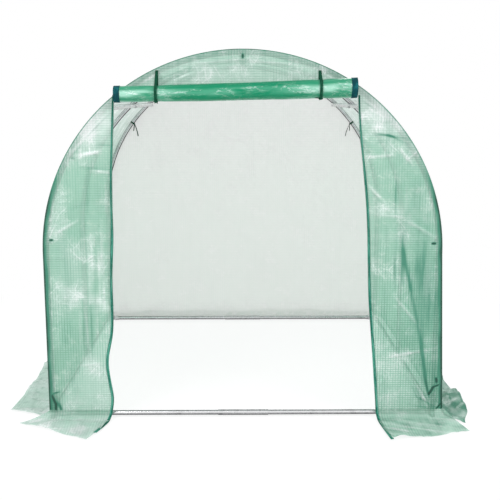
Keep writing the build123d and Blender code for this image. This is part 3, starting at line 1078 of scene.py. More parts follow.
@dataclass
class RoofSheet:
    """The one sheet that runs from skirt to skirt over the hoops."""

    sizes: Sizes
    step: float = 0.015
    skirt_step: float = 0.009
    sag: float = 0.008  # how far the film sinks between two hoops
    wave: float = 0.008  # height of its slow waves
    limits: tuple[float, float] = (-0.014, 0.006)  # how far in and out it may be pushed
    firm: float = 0.15  # height over the root below which it is held
    back_lean: float = 0.085  # how far a skirt's back end slants in toward the hem

    def build(self) -> bpy.types.Object:
        """Make the sheet.

        Returns:
            The sheet, riding on the frame.
        """
        sizes = self.sizes
        wall = sizes.spring - sizes.root
        over = 2 * wall + pi * sizes.radius
        v = np.linspace(-1.0, 1.0, int(2 * sizes.half_length / self.step) + 1)
        reaches = [skirt.reach for skirt in SIDE_SKIRTS.values()]
        down = np.linspace(0.0, 1.0, int(max(reaches) / self.skirt_step) + 1)[1:]
        runs = np.linspace(0.0, over, int(over / self.step) + 1)
        parts = [
            self._skirt(Side.LEFT, *np.meshgrid(down[::-1], v, indexing="ij"), over),
            self._body(*np.meshgrid(runs, v, indexing="ij"), wall),
            self._skirt(Side.RIGHT, *np.meshgrid(down, v, indexing="ij"), over),
        ]
        places, flat, tones = zip(*parts)
        tones = {name: np.concatenate([tone[name] for tone in tones]) for name in tones[0]}
        maker = MeshMaker()
        maker.add_grid(np.concatenate(places), np.concatenate(flat), tones)
        sheet = maker.build("roof_sheet", ROOF_FILM)
        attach(sheet, "root")
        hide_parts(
            "roof_cover_left", "roof_cover_right", "side_cover_left", "side_cover_right",
            "skirt_left", "skirt_right",
        )
        over + sum(reaches)
        return sheet

    def _body(self, run: Array, v: Array, wall: float) -> Patch:
        """Sheet between its two skirt roots.

        Args:
            run: distances over the tunnel from the left root.
            v: places along the tunnel, from -1 to 1.
            wall: height of a straight side.

        Returns:
            The places, the flat places and the tones.
        """
        sizes = self.sizes
        turn = pi - np.clip((run - wall) / sizes.radius, 0.0, pi)
        rest = run - wall - pi * sizes.radius
        drop = np.clip(wall - run, 0.0, None) + np.clip(rest, 0.0, None)
        out_x, out_z = np.cos(turn), np.sin(turn)
        z = sizes.spring + sizes.radius * out_z - drop
        x = sizes.radius * out_x + sizes.spread(out_x, z)
        y = v * sizes.half_length
        bay = sizes.hoop_y / 2
        between = np.clip(1.0 - ((bay - np.abs(y)) / bay) ** 2, 0.0, 1.0)
        wear = Wear(draw_creases(170, seed=41, low=(0.0, -1.0), high=(4.8, 1.0), height=0.005))
        push = between * (-self.sag + rough_field(run, y, (2.6, 2.2), 3.7) * self.wave)
        push += between * wear.field_of(run, y, "height")
        push = np.clip(push, *self.limits) * ease(z, sizes.root, sizes.root + self.firm)
        places = np.stack([x + out_x * push, y, z + out_z * push], axis=2)
        # painted light: the roof film paler toward its top, where it is lit through, and painted
        # glare on its creases
        pale = ease(z, 1.05, 1.60) * 0.85 + wear.field_of(run, y, "pale") * 0.4
        return places, np.stack([run, y], axis=2), {"pale": pale, "deep": 0.0 * pale}

    def _skirt(self, side: Side, down: Array, v: Array, over: float) -> Patch:
        """One skirt.

        Args:
            side: which skirt.
            down: how far down the skirt, from 0 at its root to 1 at its hem.
            v: places along the tunnel, from -1 to 1.
            over: length of the sheet between its two roots.

        Returns:
            The places, the flat places and the tones.
        """
        sizes, skirt = self.sizes, SIDE_SKIRTS[side]
        run = down * skirt.reach * (1.0 + 0.04 * np.sin(v * 5.0 + skirt.phase))
        run = run * (1.0 - skirt.cut * ease(v, -0.80, -1.0))
        out, height = sizes.skirt_path(run)
        front_end = -sizes.half_length + skirt.front_lean * down
        back_end = sizes.half_length - self.back_lean * down
        y = front_end + (back_end - front_end) * (v + 1) / 2
        waves = rough_field(out, y, (4.0, 9.0), skirt.seed)
        ridges = np.abs(rough_field(out, y, (9.0, 14.0), 21.0)) * 0.6
        lift = np.clip(waves + ridges, 0.0, 1.0) * skirt.lift
        edge = sizes.radius + sizes.spread(side.value + 0 * down, sizes.root + 0 * down)
        height = height + lift * ease(run, 0.05, 0.12)
        places = np.stack([side.value * (edge + out), y, height], axis=2)
        flat_run = -run if side is Side.LEFT else over + run
        clouds = rough_field(out, y, (12.0, 12.0), 31.0)
        specks = ease(rough_field(out, y, (40.0, 40.0), 53.0), 0.25, 0.5)
        plain, cloudy, specked = skirt.deep
        deep = np.clip(plain + cloudy * clouds + specked * specks, 0.0, 0.95)
        deep = deep + skirt.dark_edge * ease(down, 0.93, 1.0)
        plain, wavy, cloudy = skirt.pale
        pale = np.clip(plain + wavy * waves + cloudy * clouds, 0, 1)
        flat = np.stack([flat_run, v * sizes.half_length], axis=2)
        return places, flat, {"pale": pale, "deep": deep}


@dataclass(frozen=True)
class Flap:
    """Shape of the skirt at one half of an end wall, as it lies on the ground."""

    inner_reach: float  # depth at the doorway or at the wall's middle
    outer_reach: float  # depth at the corner
    inner_lean: float  # how far the end at the doorway leans outward
    outer_lean: float  # how far the corner leans outward
    outer_curve: float = 1.0  # under 1, most of that lean comes near the wall

    def inner_shift(self, down: Amount) -> Amount:
        """How far the end at the doorway leans out, from 0 at the wall to 1 at the hem."""
        return self.inner_lean * down**1.5


FRONT_FLAPS = {
    Side.LEFT: Flap(0.322, 0.095, 0.085, 0.142),
    Side.RIGHT: Flap(0.342, 0.228, 0.030, 0.092, 0.5),
}
BACK_FLAPS = {side: Flap(0.270, 0.240, 0.0, 0.11) for side in Side}


@dataclass(frozen=True)
class DoorEdge:
    """How one edge of the doorway strays outward from a straight line."""

    bulges: tuple[Point, ...] = ()  # reach, height and spread of each
    shifts: tuple[Point, ...] = ()  # reach of each, and the heights between which it grows
    wave: float = 0.0  # reach of a slow wave along it
    wave_rate: float = 7.0  # radians of that wave in a metre
    inset: float = 0.0  # how far the whole edge lies inward

    def stray(self, z: Array) -> Array:
        """Work out how far the edge is from the straight line.

        Args:
            z: heights over the ground.

        Returns:
            The distance at each height.
        """
        away = self.wave * np.sin(z * self.wave_rate) * ease(z, 0.0, 0.3) - self.inset
        for reach, height, spread in self.bulges:
            away = away + reach * np.exp(-(((z - height) / spread) ** 2))
        for reach, start, end in self.shifts:
            away = away + reach * ease(z, start, end)
        return away


DOOR_EDGES = {
    Side.LEFT: DoorEdge(
        bulges=((0.023, 0.31, 0.115), (-0.010, 0.10, 0.07)),
        shifts=((0.016, 0.4, 0.8), (0.014, 0.9, 1.3)),
    ),
    Side.RIGHT: DoorEdge(
        shifts=((0.012, 0.30, 0.04), (-0.022, 0.7, 1.6)), wave=0.006, inset=0.006
    ),
}


@dataclass
class EndSheet:
    """An end wall with its skirt, cut as one sheet."""

    sizes: Sizes
    end: End
    flaps: dict[Side, Flap]
    finish: NetFilm
    wear: Wear
    step: float  # size of a face
    seed: float
    swell: float = 0.006  # how far the loose film stands out
    skirt_depth: float = 0.2  # mean depth of a skirt on the flat cloth
    weld: float = 0.0005  # corners of two parts closer than this become one
    landing: float = 0.055  # how far out the skirt reaches the ground
    lift: float = 0.020  # height of the skirt's highest folds
    loft: float = 0.004  # height that it keeps between them
    limits: tuple[float, float] = (-0.0006, 0.022)  # how far in and out folds may push the wall

    @property
    def has_door(self) -> bool:
        """True for the wall with the doorway."""
        return self.end is End.FRONT

    def door_edge(self, side: Side, z: Array) -> Array:
        """Distance of the doorway's edge from the middle at a height.

        Args:
            side: which edge.
            z: heights over the ground.

        Returns:
            The distance at each height.
        """
        sizes = self.sizes
        share = np.clip((z - sizes.root) / (sizes.door_top - sizes.root), 0.0, 1.0)
        edge = sizes.door_half_foot + (sizes.door_half_top - sizes.door_half_foot) * share
        return edge + DOOR_EDGES[side].stray(z)

    def build(self) -> bpy.types.Object:
        """Make the wall.

        Returns:
            The wall, riding on the frame.
        """
        sizes = self.sizes
        low = np.linspace(sizes.root, sizes.door_top, int(sizes.door_top / self.step))
        start = asin((sizes.door_top - sizes.spring) / sizes.radius)
        count = int((pi / 2 - start) * sizes.radius / self.step)
        turns = np.linspace(start, pi / 2 - 0.004, count)  # just short of the arch's top
        high = sizes.spring + sizes.radius * np.sin(turns)[1:]
        maker = MeshMaker()
        columns = int((sizes.half_width - sizes.door_half_foot) / self.step)
        share = np.linspace(0.0, 1.0, columns + 1)
        rows = np.concatenate([low, high])
        for side in Side:
            self._add_wall(maker, side, *np.meshgrid(rows, share, indexing="ij"))
            self._add_flap(maker, side, share)
        across = np.linspace(0.0, 1.0, int(2 * sizes.door_half_top / self.step) + 1)
        if self.has_door:
            rows = np.concatenate([low[-1:], high])
        self._add_wall(maker, None, *np.meshgrid(rows, across, indexing="ij"))
        if not self.has_door:
            self._add_flap(maker, None, across)
        wall = maker.build(f"{self.end.word}_wall_sheet", self.finish)
        mesh = bmesh.new()
        mesh.from_mesh(wall.data)
        bmesh.ops.remove_doubles(mesh, verts=mesh.verts, dist=self.weld)
        mesh.to_mesh(wall.data)
        mesh.free()
        self._declare(wall)
        return wall

    def _declare(self, wall: bpy.types.Object) -> None:
        """Attach the wall to the frame and hide the nodes that it stands for.

        Args:
            wall: the wall.
        """
        sizes = self.sizes
        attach(wall, "root")
        area = 2 * sizes.radius * (sizes.spring - sizes.root) + pi * sizes.radius**2 / 2
        if self.has_door:
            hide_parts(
                "front_wall_left", "front_wall_right", "front_wall_top",
                "skirt_front_left", "skirt_front_right",
            )
            door = sizes.door_half_foot + sizes.door_half_top
            area += self.skirt_depth * 2 * (sizes.half_width - sizes.door_half_foot)
            area -= door * (sizes.door_top - sizes.root)
        else:
            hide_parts("back_wall", "skirt_back")
            area += 2 * sizes.half_width * sizes.end_reach
        sizes.top + self.skirt_depth

    def inner(self, side: Side, z: Array) -> Array:
        """Inner end of a side piece: the doorway's edge, or a line that goes on up from it.

        Args:
            side: which side piece.
            z: heights over the ground.

        Returns:
            Its place across the wall at each height.
        """
        sizes = self.sizes
        low = self.door_edge(side, np.minimum(z, sizes.door_top))
        at_top = np.array([sizes.door_top])
        share = (self.door_edge(side, at_top) / sizes.arch_half(at_top))[0]
        return side.value * np.where(z > sizes.door_top, sizes.arch_half(z) * share, low)

    def _add_wall(
        self, maker: MeshMaker, side: Optional[Side], z: Array, share: Array
    ) -> None:
        """Add the upright part beside the doorway, or its middle part.

        Args:
            maker: the mesh to add to.
            side: which side it is, or None for the middle.
            z: heights.
            share: places across it, from 0 to 1.
        """
        sizes = self.sizes
        if side is None:
            low, high = (self.inner(end, z) for end in Side)
        else:
            low = self.inner(side, z)
            high = side.value * sizes.arch_half(z)
            high = high + sizes.spread(high, z)
        x = low + (high - low) * share
        flat = np.stack([x, z], axis=2)
        maker.add_grid(self.points(x, z), flat, self._tones(x, z), flip=side is Side.LEFT)

    def _add_flap(self, maker: MeshMaker, side: Optional[Side], share: Array) -> None:
        """Add the skirt under one part of the wall.

        Args:
            maker: the mesh to add to.
            side: which side it is, or None for the middle.
            share: places across it, from 0 to 1.
        """
        sizes = self.sizes
        flap = self.flaps[side or Side.LEFT]
        depth = max(flap.inner_reach, flap.outer_reach)
        rows = np.linspace(1.0, 0.0, int(depth / self.step) + 1)
        down, share = np.meshgrid(rows, share, indexing="ij")
        root = sizes.root + 0 * down
        inner = {
            way: self.inner(way, root) + way.value * self.flaps[way].inner_shift(down)
            for way in Side
        }
        if side is None:
            reach = flap.inner_reach + 0 * share
            low, high = inner.values()
        else:
            reach = flap.inner_reach + (flap.outer_reach - flap.inner_reach) * share
            low = inner[side]
            edge = side.value * sizes.arch_half(root)
            lean = side.value * flap.outer_lean * down**flap.outer_curve
            high = edge + sizes.spread(edge, root) + lean
        ripple = 0.03 if side is Side.RIGHT else 0.012
        run = down * reach * (1.0 + ripple * np.sin(share * 9.0 + self.seed))
        x = low + (high - low) * share
        out, height = sizes.skirt_path(run, self.landing)
        waves = rough_field(x, out, (7.0, 6.0), self.seed + 5.5)
        ridges = np.abs(rough_field(x, out, (15.0, 11.0), self.seed + 9.1)) * 0.5
        lift = np.clip(waves + ridges, 0.0, 1.0) * self.lift + self.loft
        y = self.end.value * (sizes.half_length - sizes.film / 2 + out)
        flat = np.stack([x, sizes.root - run], axis=2)
        clouds = rough_field(x, out, (14.0, 14.0), self.seed + 1.0)
        on_ground = ease(run, 0.02, 0.08)
        # pale is painted light on the film that lies over the white floor; deep darkens it in
        # clouds and streaks
        if not self.has_door:
            pale, deep = 0.2, np.clip(0.15 + 0.4 * clouds, 0.0, 1.0)
        elif side is Side.LEFT:
            pale, deep = np.clip(0.70 - 0.5 * clouds, 0, 1), 0.0
        else:
            streak = rough_field(x + 0.6 * out, out - 0.4 * x, (5.0, 30.0), 77.0)
            pale = np.clip(-streak, 0.0, 1.0)
            deep = np.clip(0.22 + 0.5 * clouds + 0.5 * streak, 0.0, 0.8)
        tones = {"pale": pale * on_ground, "deep": deep * on_ground, "net": 0.3 + 0.0 * x}
        places = np.stack([x, y, height + lift * ease(run, 0.045, 0.12)], axis=2)
        maker.add_grid(places, flat, tones, flip=side is Side.LEFT)

    def points(self, x: Array, z: Array) -> Array:
        """Points of the upright wall, pushed out by its folds.

        Args:
            x: places across the wall.
            z: heights.

        Returns:
            The points, with their coordinates on a last axis.
        """
        sizes = self.sizes
        from_edge = self._from_edge(x, z)
        loose = ease(from_edge, 0.012, 0.09) * ease(z, sizes.root, sizes.root + 0.06)
        swell = rough_field(x, z, (3.0, 1.6), self.seed + 0.3) * self.swell
        pleats = rough_field(x, z, (16.0, 2.2), self.seed + 2.9) * self.swell * 0.45
        push = (swell + pleats + self.wear.field_of(x, z, "height")) * loose
        push = np.clip(push, *self.limits)
        y = self.end.value * (sizes.half_length - sizes.film / 2 + push)
        return np.stack([x, y, z], axis=-1)

    def _from_edge(self, x: Array, z: Array) -> Array:
        """Measure how far in from the wall's outer edge a place is, roughly square to it.

        Args:
            x: places across the wall.
            z: heights.

        Returns:
            The distances.
        """
        sizes = self.sizes
        over = np.clip(z - sizes.spring, 0.0, None)
        half = np.abs(x) - np.abs(sizes.spread(x, z))
        return sizes.radius - np.hypot(half, over)

    def _tones(self, x: Array, z: Array) -> Tones:
        """Tones of the upright wall.

        Args:
            x: places across the wall.
            z: heights.

        Returns:
            How pale and how deep the film is, and how plain its net.
        """
        from_edge = self._from_edge(x, z)
        # A band along the wall's outer edge, over the end hoop, darkened with painted shade: the
        # tube's shadow on the backlit film.
        dark_edge = ease(from_edge, 0.032, 0.016)
        if not self.has_door:
            # painted glare toward the top, and painted light that makes the foot paler
            pale = 0.5 * ease(z, 0.9, 1.6) + 0.35 * ease(z, 0.15, 0.07)
            return {"pale": pale * (1.0 - dark_edge), "deep": dark_edge * 0.45, "net": 0.0 * x}
        low = ease(z, 1.45, 1.05)
        # The band's painted shade: stronger low down, on the right and near the arch's top, uneven
        # along its length, with the lip and the rim darker still; over 1 it becomes painted shadow.
        edge_shade_wobble = 0.86 + 0.34 * rough_field(x, z, (5.0, 11.0), 4.1)
        edge_shade_depth = 0.10 + low * (0.92 + 0.18 * ease(x, 0.0, 0.5))
        edge_shade_depth += 0.25 * ease(np.abs(x), 0.70, 0.45)
        lip = ease(from_edge, 0.014, 0.005) * low * 0.55
        rim = ease(from_edge, 0.008, 0.001) * 1.15
        # painted shade over the right part of the wall, a little more low down, toward its right
        # edge and in its lower right corner
        shade = ease(x, 0.62, 0.76) * (0.08 + 0.04 * ease(z, 1.2, 0.8))
        shade += 0.05 * ease(x, 0.82, 0.90)
        shade += 0.10 * ease(x, 0.84, 0.92) * ease(z, 0.35, 0.2)
        deep = np.clip(self.wear.field_of(x, z, "deep") + shade, 0.0, 2.0)
        deep = np.maximum(deep, np.maximum(dark_edge * edge_shade_depth * edge_shade_wobble + lip, rim))
        # painted glare from the marks, and along the upper edge
        pale = self.wear.field_of(x, z, "pale") + 0.35 * ease(from_edge, 0.05, 0.0) * (1 - low)
        pale = np.clip(pale, 0.0, 1.0) * (1.0 - dark_edge * low)
        net = 0.10 + 0.65 * ease(x, 0.4, 0.6) * ease(z, 1.1, 0.3)
        net += 0.25 * ease(x, -0.4, -0.6) * ease(z, 0.9, 0.5)
        return {"pale": pale, "deep": deep, "net": net}


# ------------------------------------------------------------------ doorway and door


@dataclass
class DoorBinding:
    """Tape that binds the doorway's two edges and the ends of the front skirts."""

    wall: EndSheet
    width: float = 0.0150
    thick: float = 0.0022
    overlap: float = 0.30  # share of the width by which the tape lies over the film
    ends: dict[Side, float] = field(
        default_factory=lambda: {Side.LEFT: 0.72, Side.RIGHT: 0.97}
    )  # how far down the skirt each tape runs
    lift: float = 0.0045  # the tape's height over the skirt, where it starts
    climb: float = 0.004  # how much higher it is at the hem
    proud: float = 0.001  # how far it stands out from the skirt
    turned: float = 0.75  # mean angle by which the tape is turned edge-on
    wander: float = 0.6  # how far that angle wanders
    top_turn: float = 0.35  # how much more it is turned at the top
    foot_turn: float = 0.45  # how much less it is turned at the foot

    def build(self) -> None:
        """Make both tapes."""
        for side in Side:
            self._build_side(side)

    def _build_side(self, side: Side) -> None:
        """Make one tape.

        Args:
            side: which edge of the doorway.
        """
        sizes = self.wall.sizes
        flap = self.wall.flaps[side]
        over = self.width * self.overlap
        path, across = [], []
        z = np.linspace(sizes.door_top, sizes.root, 160)
        x = side.value * (self.wall.door_edge(side, z) + over)
        for point in self.wall.points(x, z):
            path.append(Vector(point) - Vector((0.0, self.thick * 0.7, 0.0)))
            high, low = ease(point[2], 1.1, 1.5), ease(point[2], 0.9, 0.3)
            turn = self.turned + self.wander * noise.noise((point[2] * 5.0, side.value, 0.0))
            turn += self.top_turn * high - self.foot_turn * low
            across.append(Vector((side.value * cos(turn), -sin(turn), 0.0)))
        inner = self.wall.door_edge(side, np.array([sizes.root]))[0]
        for down in np.linspace(0.04, self.ends[side], 30):
            run = np.array([flap.inner_reach * down])
            out, height = sizes.skirt_path(run, self.wall.landing)
            place = side.value * (inner + flap.inner_shift(down) + over)
            y = -sizes.half_length - out[0] - self.proud
            path.append(Vector((place, y, height[0] + self.lift + self.climb * down)))
            across.append(Vector((side.value, 0.1, 0.1)))
        maker = MeshMaker()
        maker.add_strip(path, across, self.width, self.thick)
        tape = maker.build(f"door_binding_{side.word}", BINDING)
        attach(tape, "root")
        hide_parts(f"door_zip_{side.word}")


@dataclass
class RolledDoor:
    """The film door, rolled up over the doorway, with its end tapes and straps."""

    sizes: Sizes
    turns: float = 10.4
    core: float = 0.15  # radius where the winding starts, as a share of the roll's
    layer: float = 0.0245  # mean radius of the layers
    tape: float = 0.0016  # how far the end tapes stand out from the film
    tape_thick: float = 0.0012
    film_lap: float = 0.003  # how far the film runs on under each end tape
    tape_lap: float = 0.002  # how far each end tape lies over the film
    rise: float = 0.004  # how much higher the right end is than in the frame
    sag: float = 0.003  # how far the roll sinks in its middle
    fuller: float = 0.05  # share by which the right end is thicker than in the frame
    strap_width: float = 0.0135
    strap_thick: float = 0.0014
    strap_gap: float = 0.0022  # from the roll to the strap's middle
    strap_head: float = 0.002  # how far its top is off the wall and under the frame's strap
    strap_step: float = 0.008  # longest step between two points of its path
    knot_place: tuple[float, float] = (-0.014, 0.003)  # along Y and up from its lowest point
    tail_width: float = 0.007
    tail_thick: float = 0.0012
    knot: Profile = (
        (0.0022, -0.010), (0.0055, -0.006), (0.0062, 0), (0.0052, 0.006), (0.002, 0.010)
    )
    tails: dict[Side, tuple[tuple[float, float], ...]] = field(
        default_factory=lambda: {
            Side.LEFT: ((0.008, -0.008), (-0.006, -0.009)),
            Side.RIGHT: ((-0.030, 0.004), (-0.008, -0.007)),
        }
    )  # how far aside and up each strap's two ends reach
    drawn_in: float = 0.012  # the film's right end and its strap, from where a full roll ends

    def __post_init__(self) -> None:
        """Read the roll's place from the frame."""
        low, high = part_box("door_roll")
        self.left, self.right = low.x, high.x - self.drawn_in
        self.y = (low.y + high.y) / 2
        tape_low, tape_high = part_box("door_roll_tapes")
        self.tape_left, self.tape_right = tape_low.x, tape_high.x - self.drawn_in
        points = [v.co for v in bpy.data.objects["door_roll"].data.vertices]
        ends = []
        for end in (low.x, high.x):
            ring = [p for p in points if abs(p.x - end) < 0.004]
            heights = [p.z for p in ring]
            ends.append(((min(heights) + max(heights)) / 2, (max(heights) - min(heights)) / 2))
        (self.z_left, self.r_left), (self.z_right, self.r_right) = ends

    def _share(self, x: Amount) -> Amount:
        """Place across the roll, from 0 at its left end to 1 at its right end."""
        return (x - self.left) / (self.right - self.left)

    def middle(self, x: Amount) -> Amount:
        """Height of the roll's middle at a place across the doorway.

        Args:
            x: the place.

        Returns:
            The height, with the roll's slope and its slight sag.
        """
        share = self._share(x)
        rise = self.z_right - self.z_left + self.rise
        return self.z_left + rise * share - self.sag * np.sin(pi * share)

    def radius(self, x: Amount) -> Amount:
        """Radius of the roll at a place across the doorway."""
        share = self._share(x)
        return (self.r_left + (self.r_right - self.r_left) * share) * (1.0 + self.fuller * share)

    def straps(self) -> dict[Side, float]:
        """Find where the straps are.

        Returns:
            Each strap's place across the doorway.
        """
        places = {}
        for side in Side:
            low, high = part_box(f"roll_strap_{side.word}")
            places[side] = (low.x + high.x) / 2
        places[Side.RIGHT] -= self.drawn_in
        return places

    def _spiral(self, x_from: float, x_to: float, columns: int, extra: float) -> Patch:
        """Grid of the rolled sheet over a stretch of its width.

        Args:
            x_from: where the stretch starts.
            x_to: where it ends.
            columns: how many faces there are along it.
            extra: how much the layers stand out.

        Returns:
            The places, the flat places and the tones.
        """
        wound = tau * self.turns
        turn = np.linspace(0.0, wound, int(self.turns * 30) + 1)
        x = np.linspace(x_from, x_to, columns + 1)
        turn, x = np.meshgrid(turn, x, indexing="ij")
        share = turn / wound
        bound = self.radius(np.clip(x, self.left, self.right))
        radius = bound * (self.core + (1.02 - self.core) * share) + extra
        face = turn - wound
        folds = rough_field(x, np.cos(face), (6.0, 1.8), 7.7)
        ridges = rough_field(x + np.sin(face) * 0.3, np.sin(face), (15.0, 3.5), 2.2)
        squeeze = np.zeros_like(x)
        for place in self.straps().values():
            squeeze += np.exp(-(((x - place) / 0.03) ** 2)) * 0.05
        radius = radius * (1.0 + 0.035 * folds + 0.022 * ridges - squeeze)
        angle = -0.8 + face
        y = self.y + radius * np.cos(angle)
        z = self.middle(x) + radius * np.sin(angle) * 0.97
        run = share * wound * self.layer
        height = np.sin(angle) + 0.15 * folds
        # painted reflection: a pale band along the roll's middle height, and a paler strip along
        # its under side
        streak = ease(height, -0.55, -0.15) * ease(height, 0.62, 0.25)
        streak = streak * ease(folds + 0.6 * ridges, -0.5, 0.2)
        streak = np.maximum(streak, ease(height, -0.82, -0.97) * 0.8)
        return np.stack([x, y, z], axis=2), np.stack([x, run], axis=2), {"pale": streak}

    def build(self) -> None:
        """Make the roll, its end tapes and its straps."""
        maker = MeshMaker()
        lap = self.film_lap
        maker.add_grid(*self._spiral(self.left - lap, self.right + lap, 90, 0.0))
        roll = maker.build("rolled_door", ROLLED)
        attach(roll, "root")
        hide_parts("door_roll")
        tapes = MeshMaker()
        lap = self.tape_lap
        tapes.add_grid(*self._spiral(self.tape_left, self.left + lap, 4, self.tape))
        tapes.add_grid(*self._spiral(self.right - lap, self.tape_right, 4, self.tape))
        ends = tapes.build("roll_end_tapes", ROLL_TAPE)
        thicken = ends.modifiers.new("thickness", "SOLIDIFY")
        thicken.thickness = self.tape_thick
        thicken.offset = 0.0
        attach(ends, "root")
        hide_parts("door_roll_tapes")
        for side, place in self.straps().items():
            self._build_strap(side, place)

    def _build_strap(self, side: Side, x: float) -> None:
        """Make the strap that goes round the roll at one place, with its knot.

        Args:
            side: which strap.
            x: its place across the doorway.
        """
        _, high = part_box(f"roll_strap_{side.word}")
        head = Vector((x, -self.sizes.half_length - self.strap_head, high.z - self.strap_head))
        centre = Vector((x, self.y, self.middle(x)))
        round_it = self.radius(x) + self.strap_gap
        reach = hypot(head.y - centre.y, head.z - centre.z)
        toward = atan2(head.z - centre.z, head.y - centre.y)
        swing = acos(round_it / reach)
        front, back = toward + swing, toward - swing + tau
        path = [head]
        for place in np.linspace(front, back, 40):
            path.append(centre + Vector((0, cos(place), sin(place))) * round_it)
        path = self._filled(path, self.strap_step)
        across = [Vector((1, 0, 0))] * len(path)
        maker = MeshMaker()
        maker.add_strip(path, across, self.strap_width, self.strap_thick, loop=True)
        along, up = self.knot_place
        low = centre + Vector((0, along, -round_it + up))
        self._add_knot(maker, low, side)
        strap = maker.build(f"roll_ribbon_{side.word}", RIBBON)
        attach(strap, "root")
        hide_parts(f"roll_strap_{side.word}")

    @staticmethod
    def _filled(path: list[Vector], longest: float) -> list[Vector]:
        """Add points where the steps of a closed path are long.

        Args:
            path: the path's points.
            longest: the longest step that stays as it is.

        Returns:
            The points with the new ones between them.
        """
        filled = []
        for here, there in zip(path, path[1:] + path[:1]):
            steps = max(1, int((there - here).length / longest))
            filled += [here.lerp(there, step / steps) for step in range(steps)]
        return filled

    def _add_knot(self, maker: MeshMaker, at: Vector, side: Side) -> None:
        """Add a small knot with two short tails.

        Args:
            maker: the mesh to add to.
            at: middle of the knot.
            side: which strap it closes.
        """
        frame = Matrix.Translation(at) @ Matrix.Rotation(pi / 2, 4, "Y")
        maker.add_turned(frame, self.knot, 10)
        for aside, up in self.tails[side]:
            path = []
            for share in np.linspace(0.0, 1.0, 7):
                path.append(at + Vector((aside * share, -0.004 * sin(share * pi), up * share)))
            across = [Vector((0.2, 1.0, 0.4))] * len(path)
            maker.add_strip(path, across, self.tail_width, self.tail_thick)


# ------------------------------------------------------------------ frame


@dataclass
class HoopTies:
    """Ribbons that tie the cover to one end hoop."""

    sizes: Sizes
    end: End
    width: float = 0.011
    thick: float = 0.0011
    gap: float = 0.0009  # from the tube to the ribbon's middle
    knot_gap: float = 0.0035  # from there to the knot's middle
    angles: dict[End, tuple[float, ...]] = field(
        default_factory=lambda: {End.FRONT: (4.0, 30.0), End.BACK: (4.0, 37.0)}
    )
    tails: dict[End, tuple[float, ...]] = field(
        default_factory=lambda: {End.FRONT: (0.024, 0.024), End.BACK: (0.030, 0.098)}
    )
    knot: Profile = (
        (0.002, -0.008), (0.0046, -0.005), (0.0052, 0), (0.0046, 0.005), (0.002, 0.008)
    )
    foot_height: float = 0.118
    foot_tails: dict[End, float] = field(
        default_factory=lambda: {End.FRONT: 0.036, End.BACK: 0.010}
    )

    def build(self) -> None:
        """Make every tie of the hoop as one piece."""
        sizes = self.sizes
        y = self.end.value * sizes.hoop_y
        radius = sizes.leg_x
        maker = MeshMaker()
        draw = random.Random(5 + self.end.value)
        for side in Side:
            for angle, tail in zip(self.angles[self.end], self.tails[self.end]):
                turn = radians(angle)
                middle = Vector(
                    (side.value * radius * cos(turn), y, sizes.spring + radius * sin(turn))
                )
                inward = Vector((-side.value * cos(turn), 0, -sin(turn)))
                self._add_tie(maker, middle, inward, tail, draw)
            foot = Vector((side.value * radius, y, self.foot_height))
            self._add_tie(maker, foot, Vector((-side.value, 0, 0)), self.foot_tails[self.end], draw)
        ties = maker.build(f"{self.end.word}_ribbon_ties", RIBBON)
        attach(ties, "root")
        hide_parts(f"{self.end.word}_hoop_ties")

    def _add_tie(
        self, maker: MeshMaker, middle: Vector, inward: Vector, tail: float, draw: random.Random
    ) -> None:
        """Add one tie.

        Args:
            maker: the mesh to add to.
            middle: the tube's middle at the tie.
            inward: direction from the tube to the inside.
            tail: length of its longer tail.
            draw: source of its small differences.
        """
        back = Vector((0, 1, 0))
        ring = self.sizes.tube + self.gap
        path = []
        for step in range(28):
            turn = tau * step / 28
            path.append(middle + (inward * cos(turn) + back * sin(turn)) * ring)
        maker.add_strip(path, [inward.cross(back)] * len(path), self.width, self.thick, loop=True)
        knot = middle + inward * (ring + self.knot_gap)
        maker.add_turned(frame_along(knot, back), self.knot, 10)
        toward = 1.0 if inward.x > 0 else -1.0
        for length, leans in ((tail, (0.25, 0.60)), (tail * 0.55, (-0.35, 0.1))):
            lean = draw.uniform(*leans)
            curl = draw.uniform(0.05, 0.16)
            trail, wide = [], []
            for step in range(13):
                share = step / 12
                aside = toward * length * lean * share**0.8
                bow = curl * length * sin(share * pi)
                trail.append(knot + Vector((aside, bow, -length * share * 0.88)))
                wide.append(Vector((0.25 + 0.5 * sin(share * 2.0), 1.0, 0.1)))
            maker.add_strip(trail, wide, self.width * 0.8, self.thick)


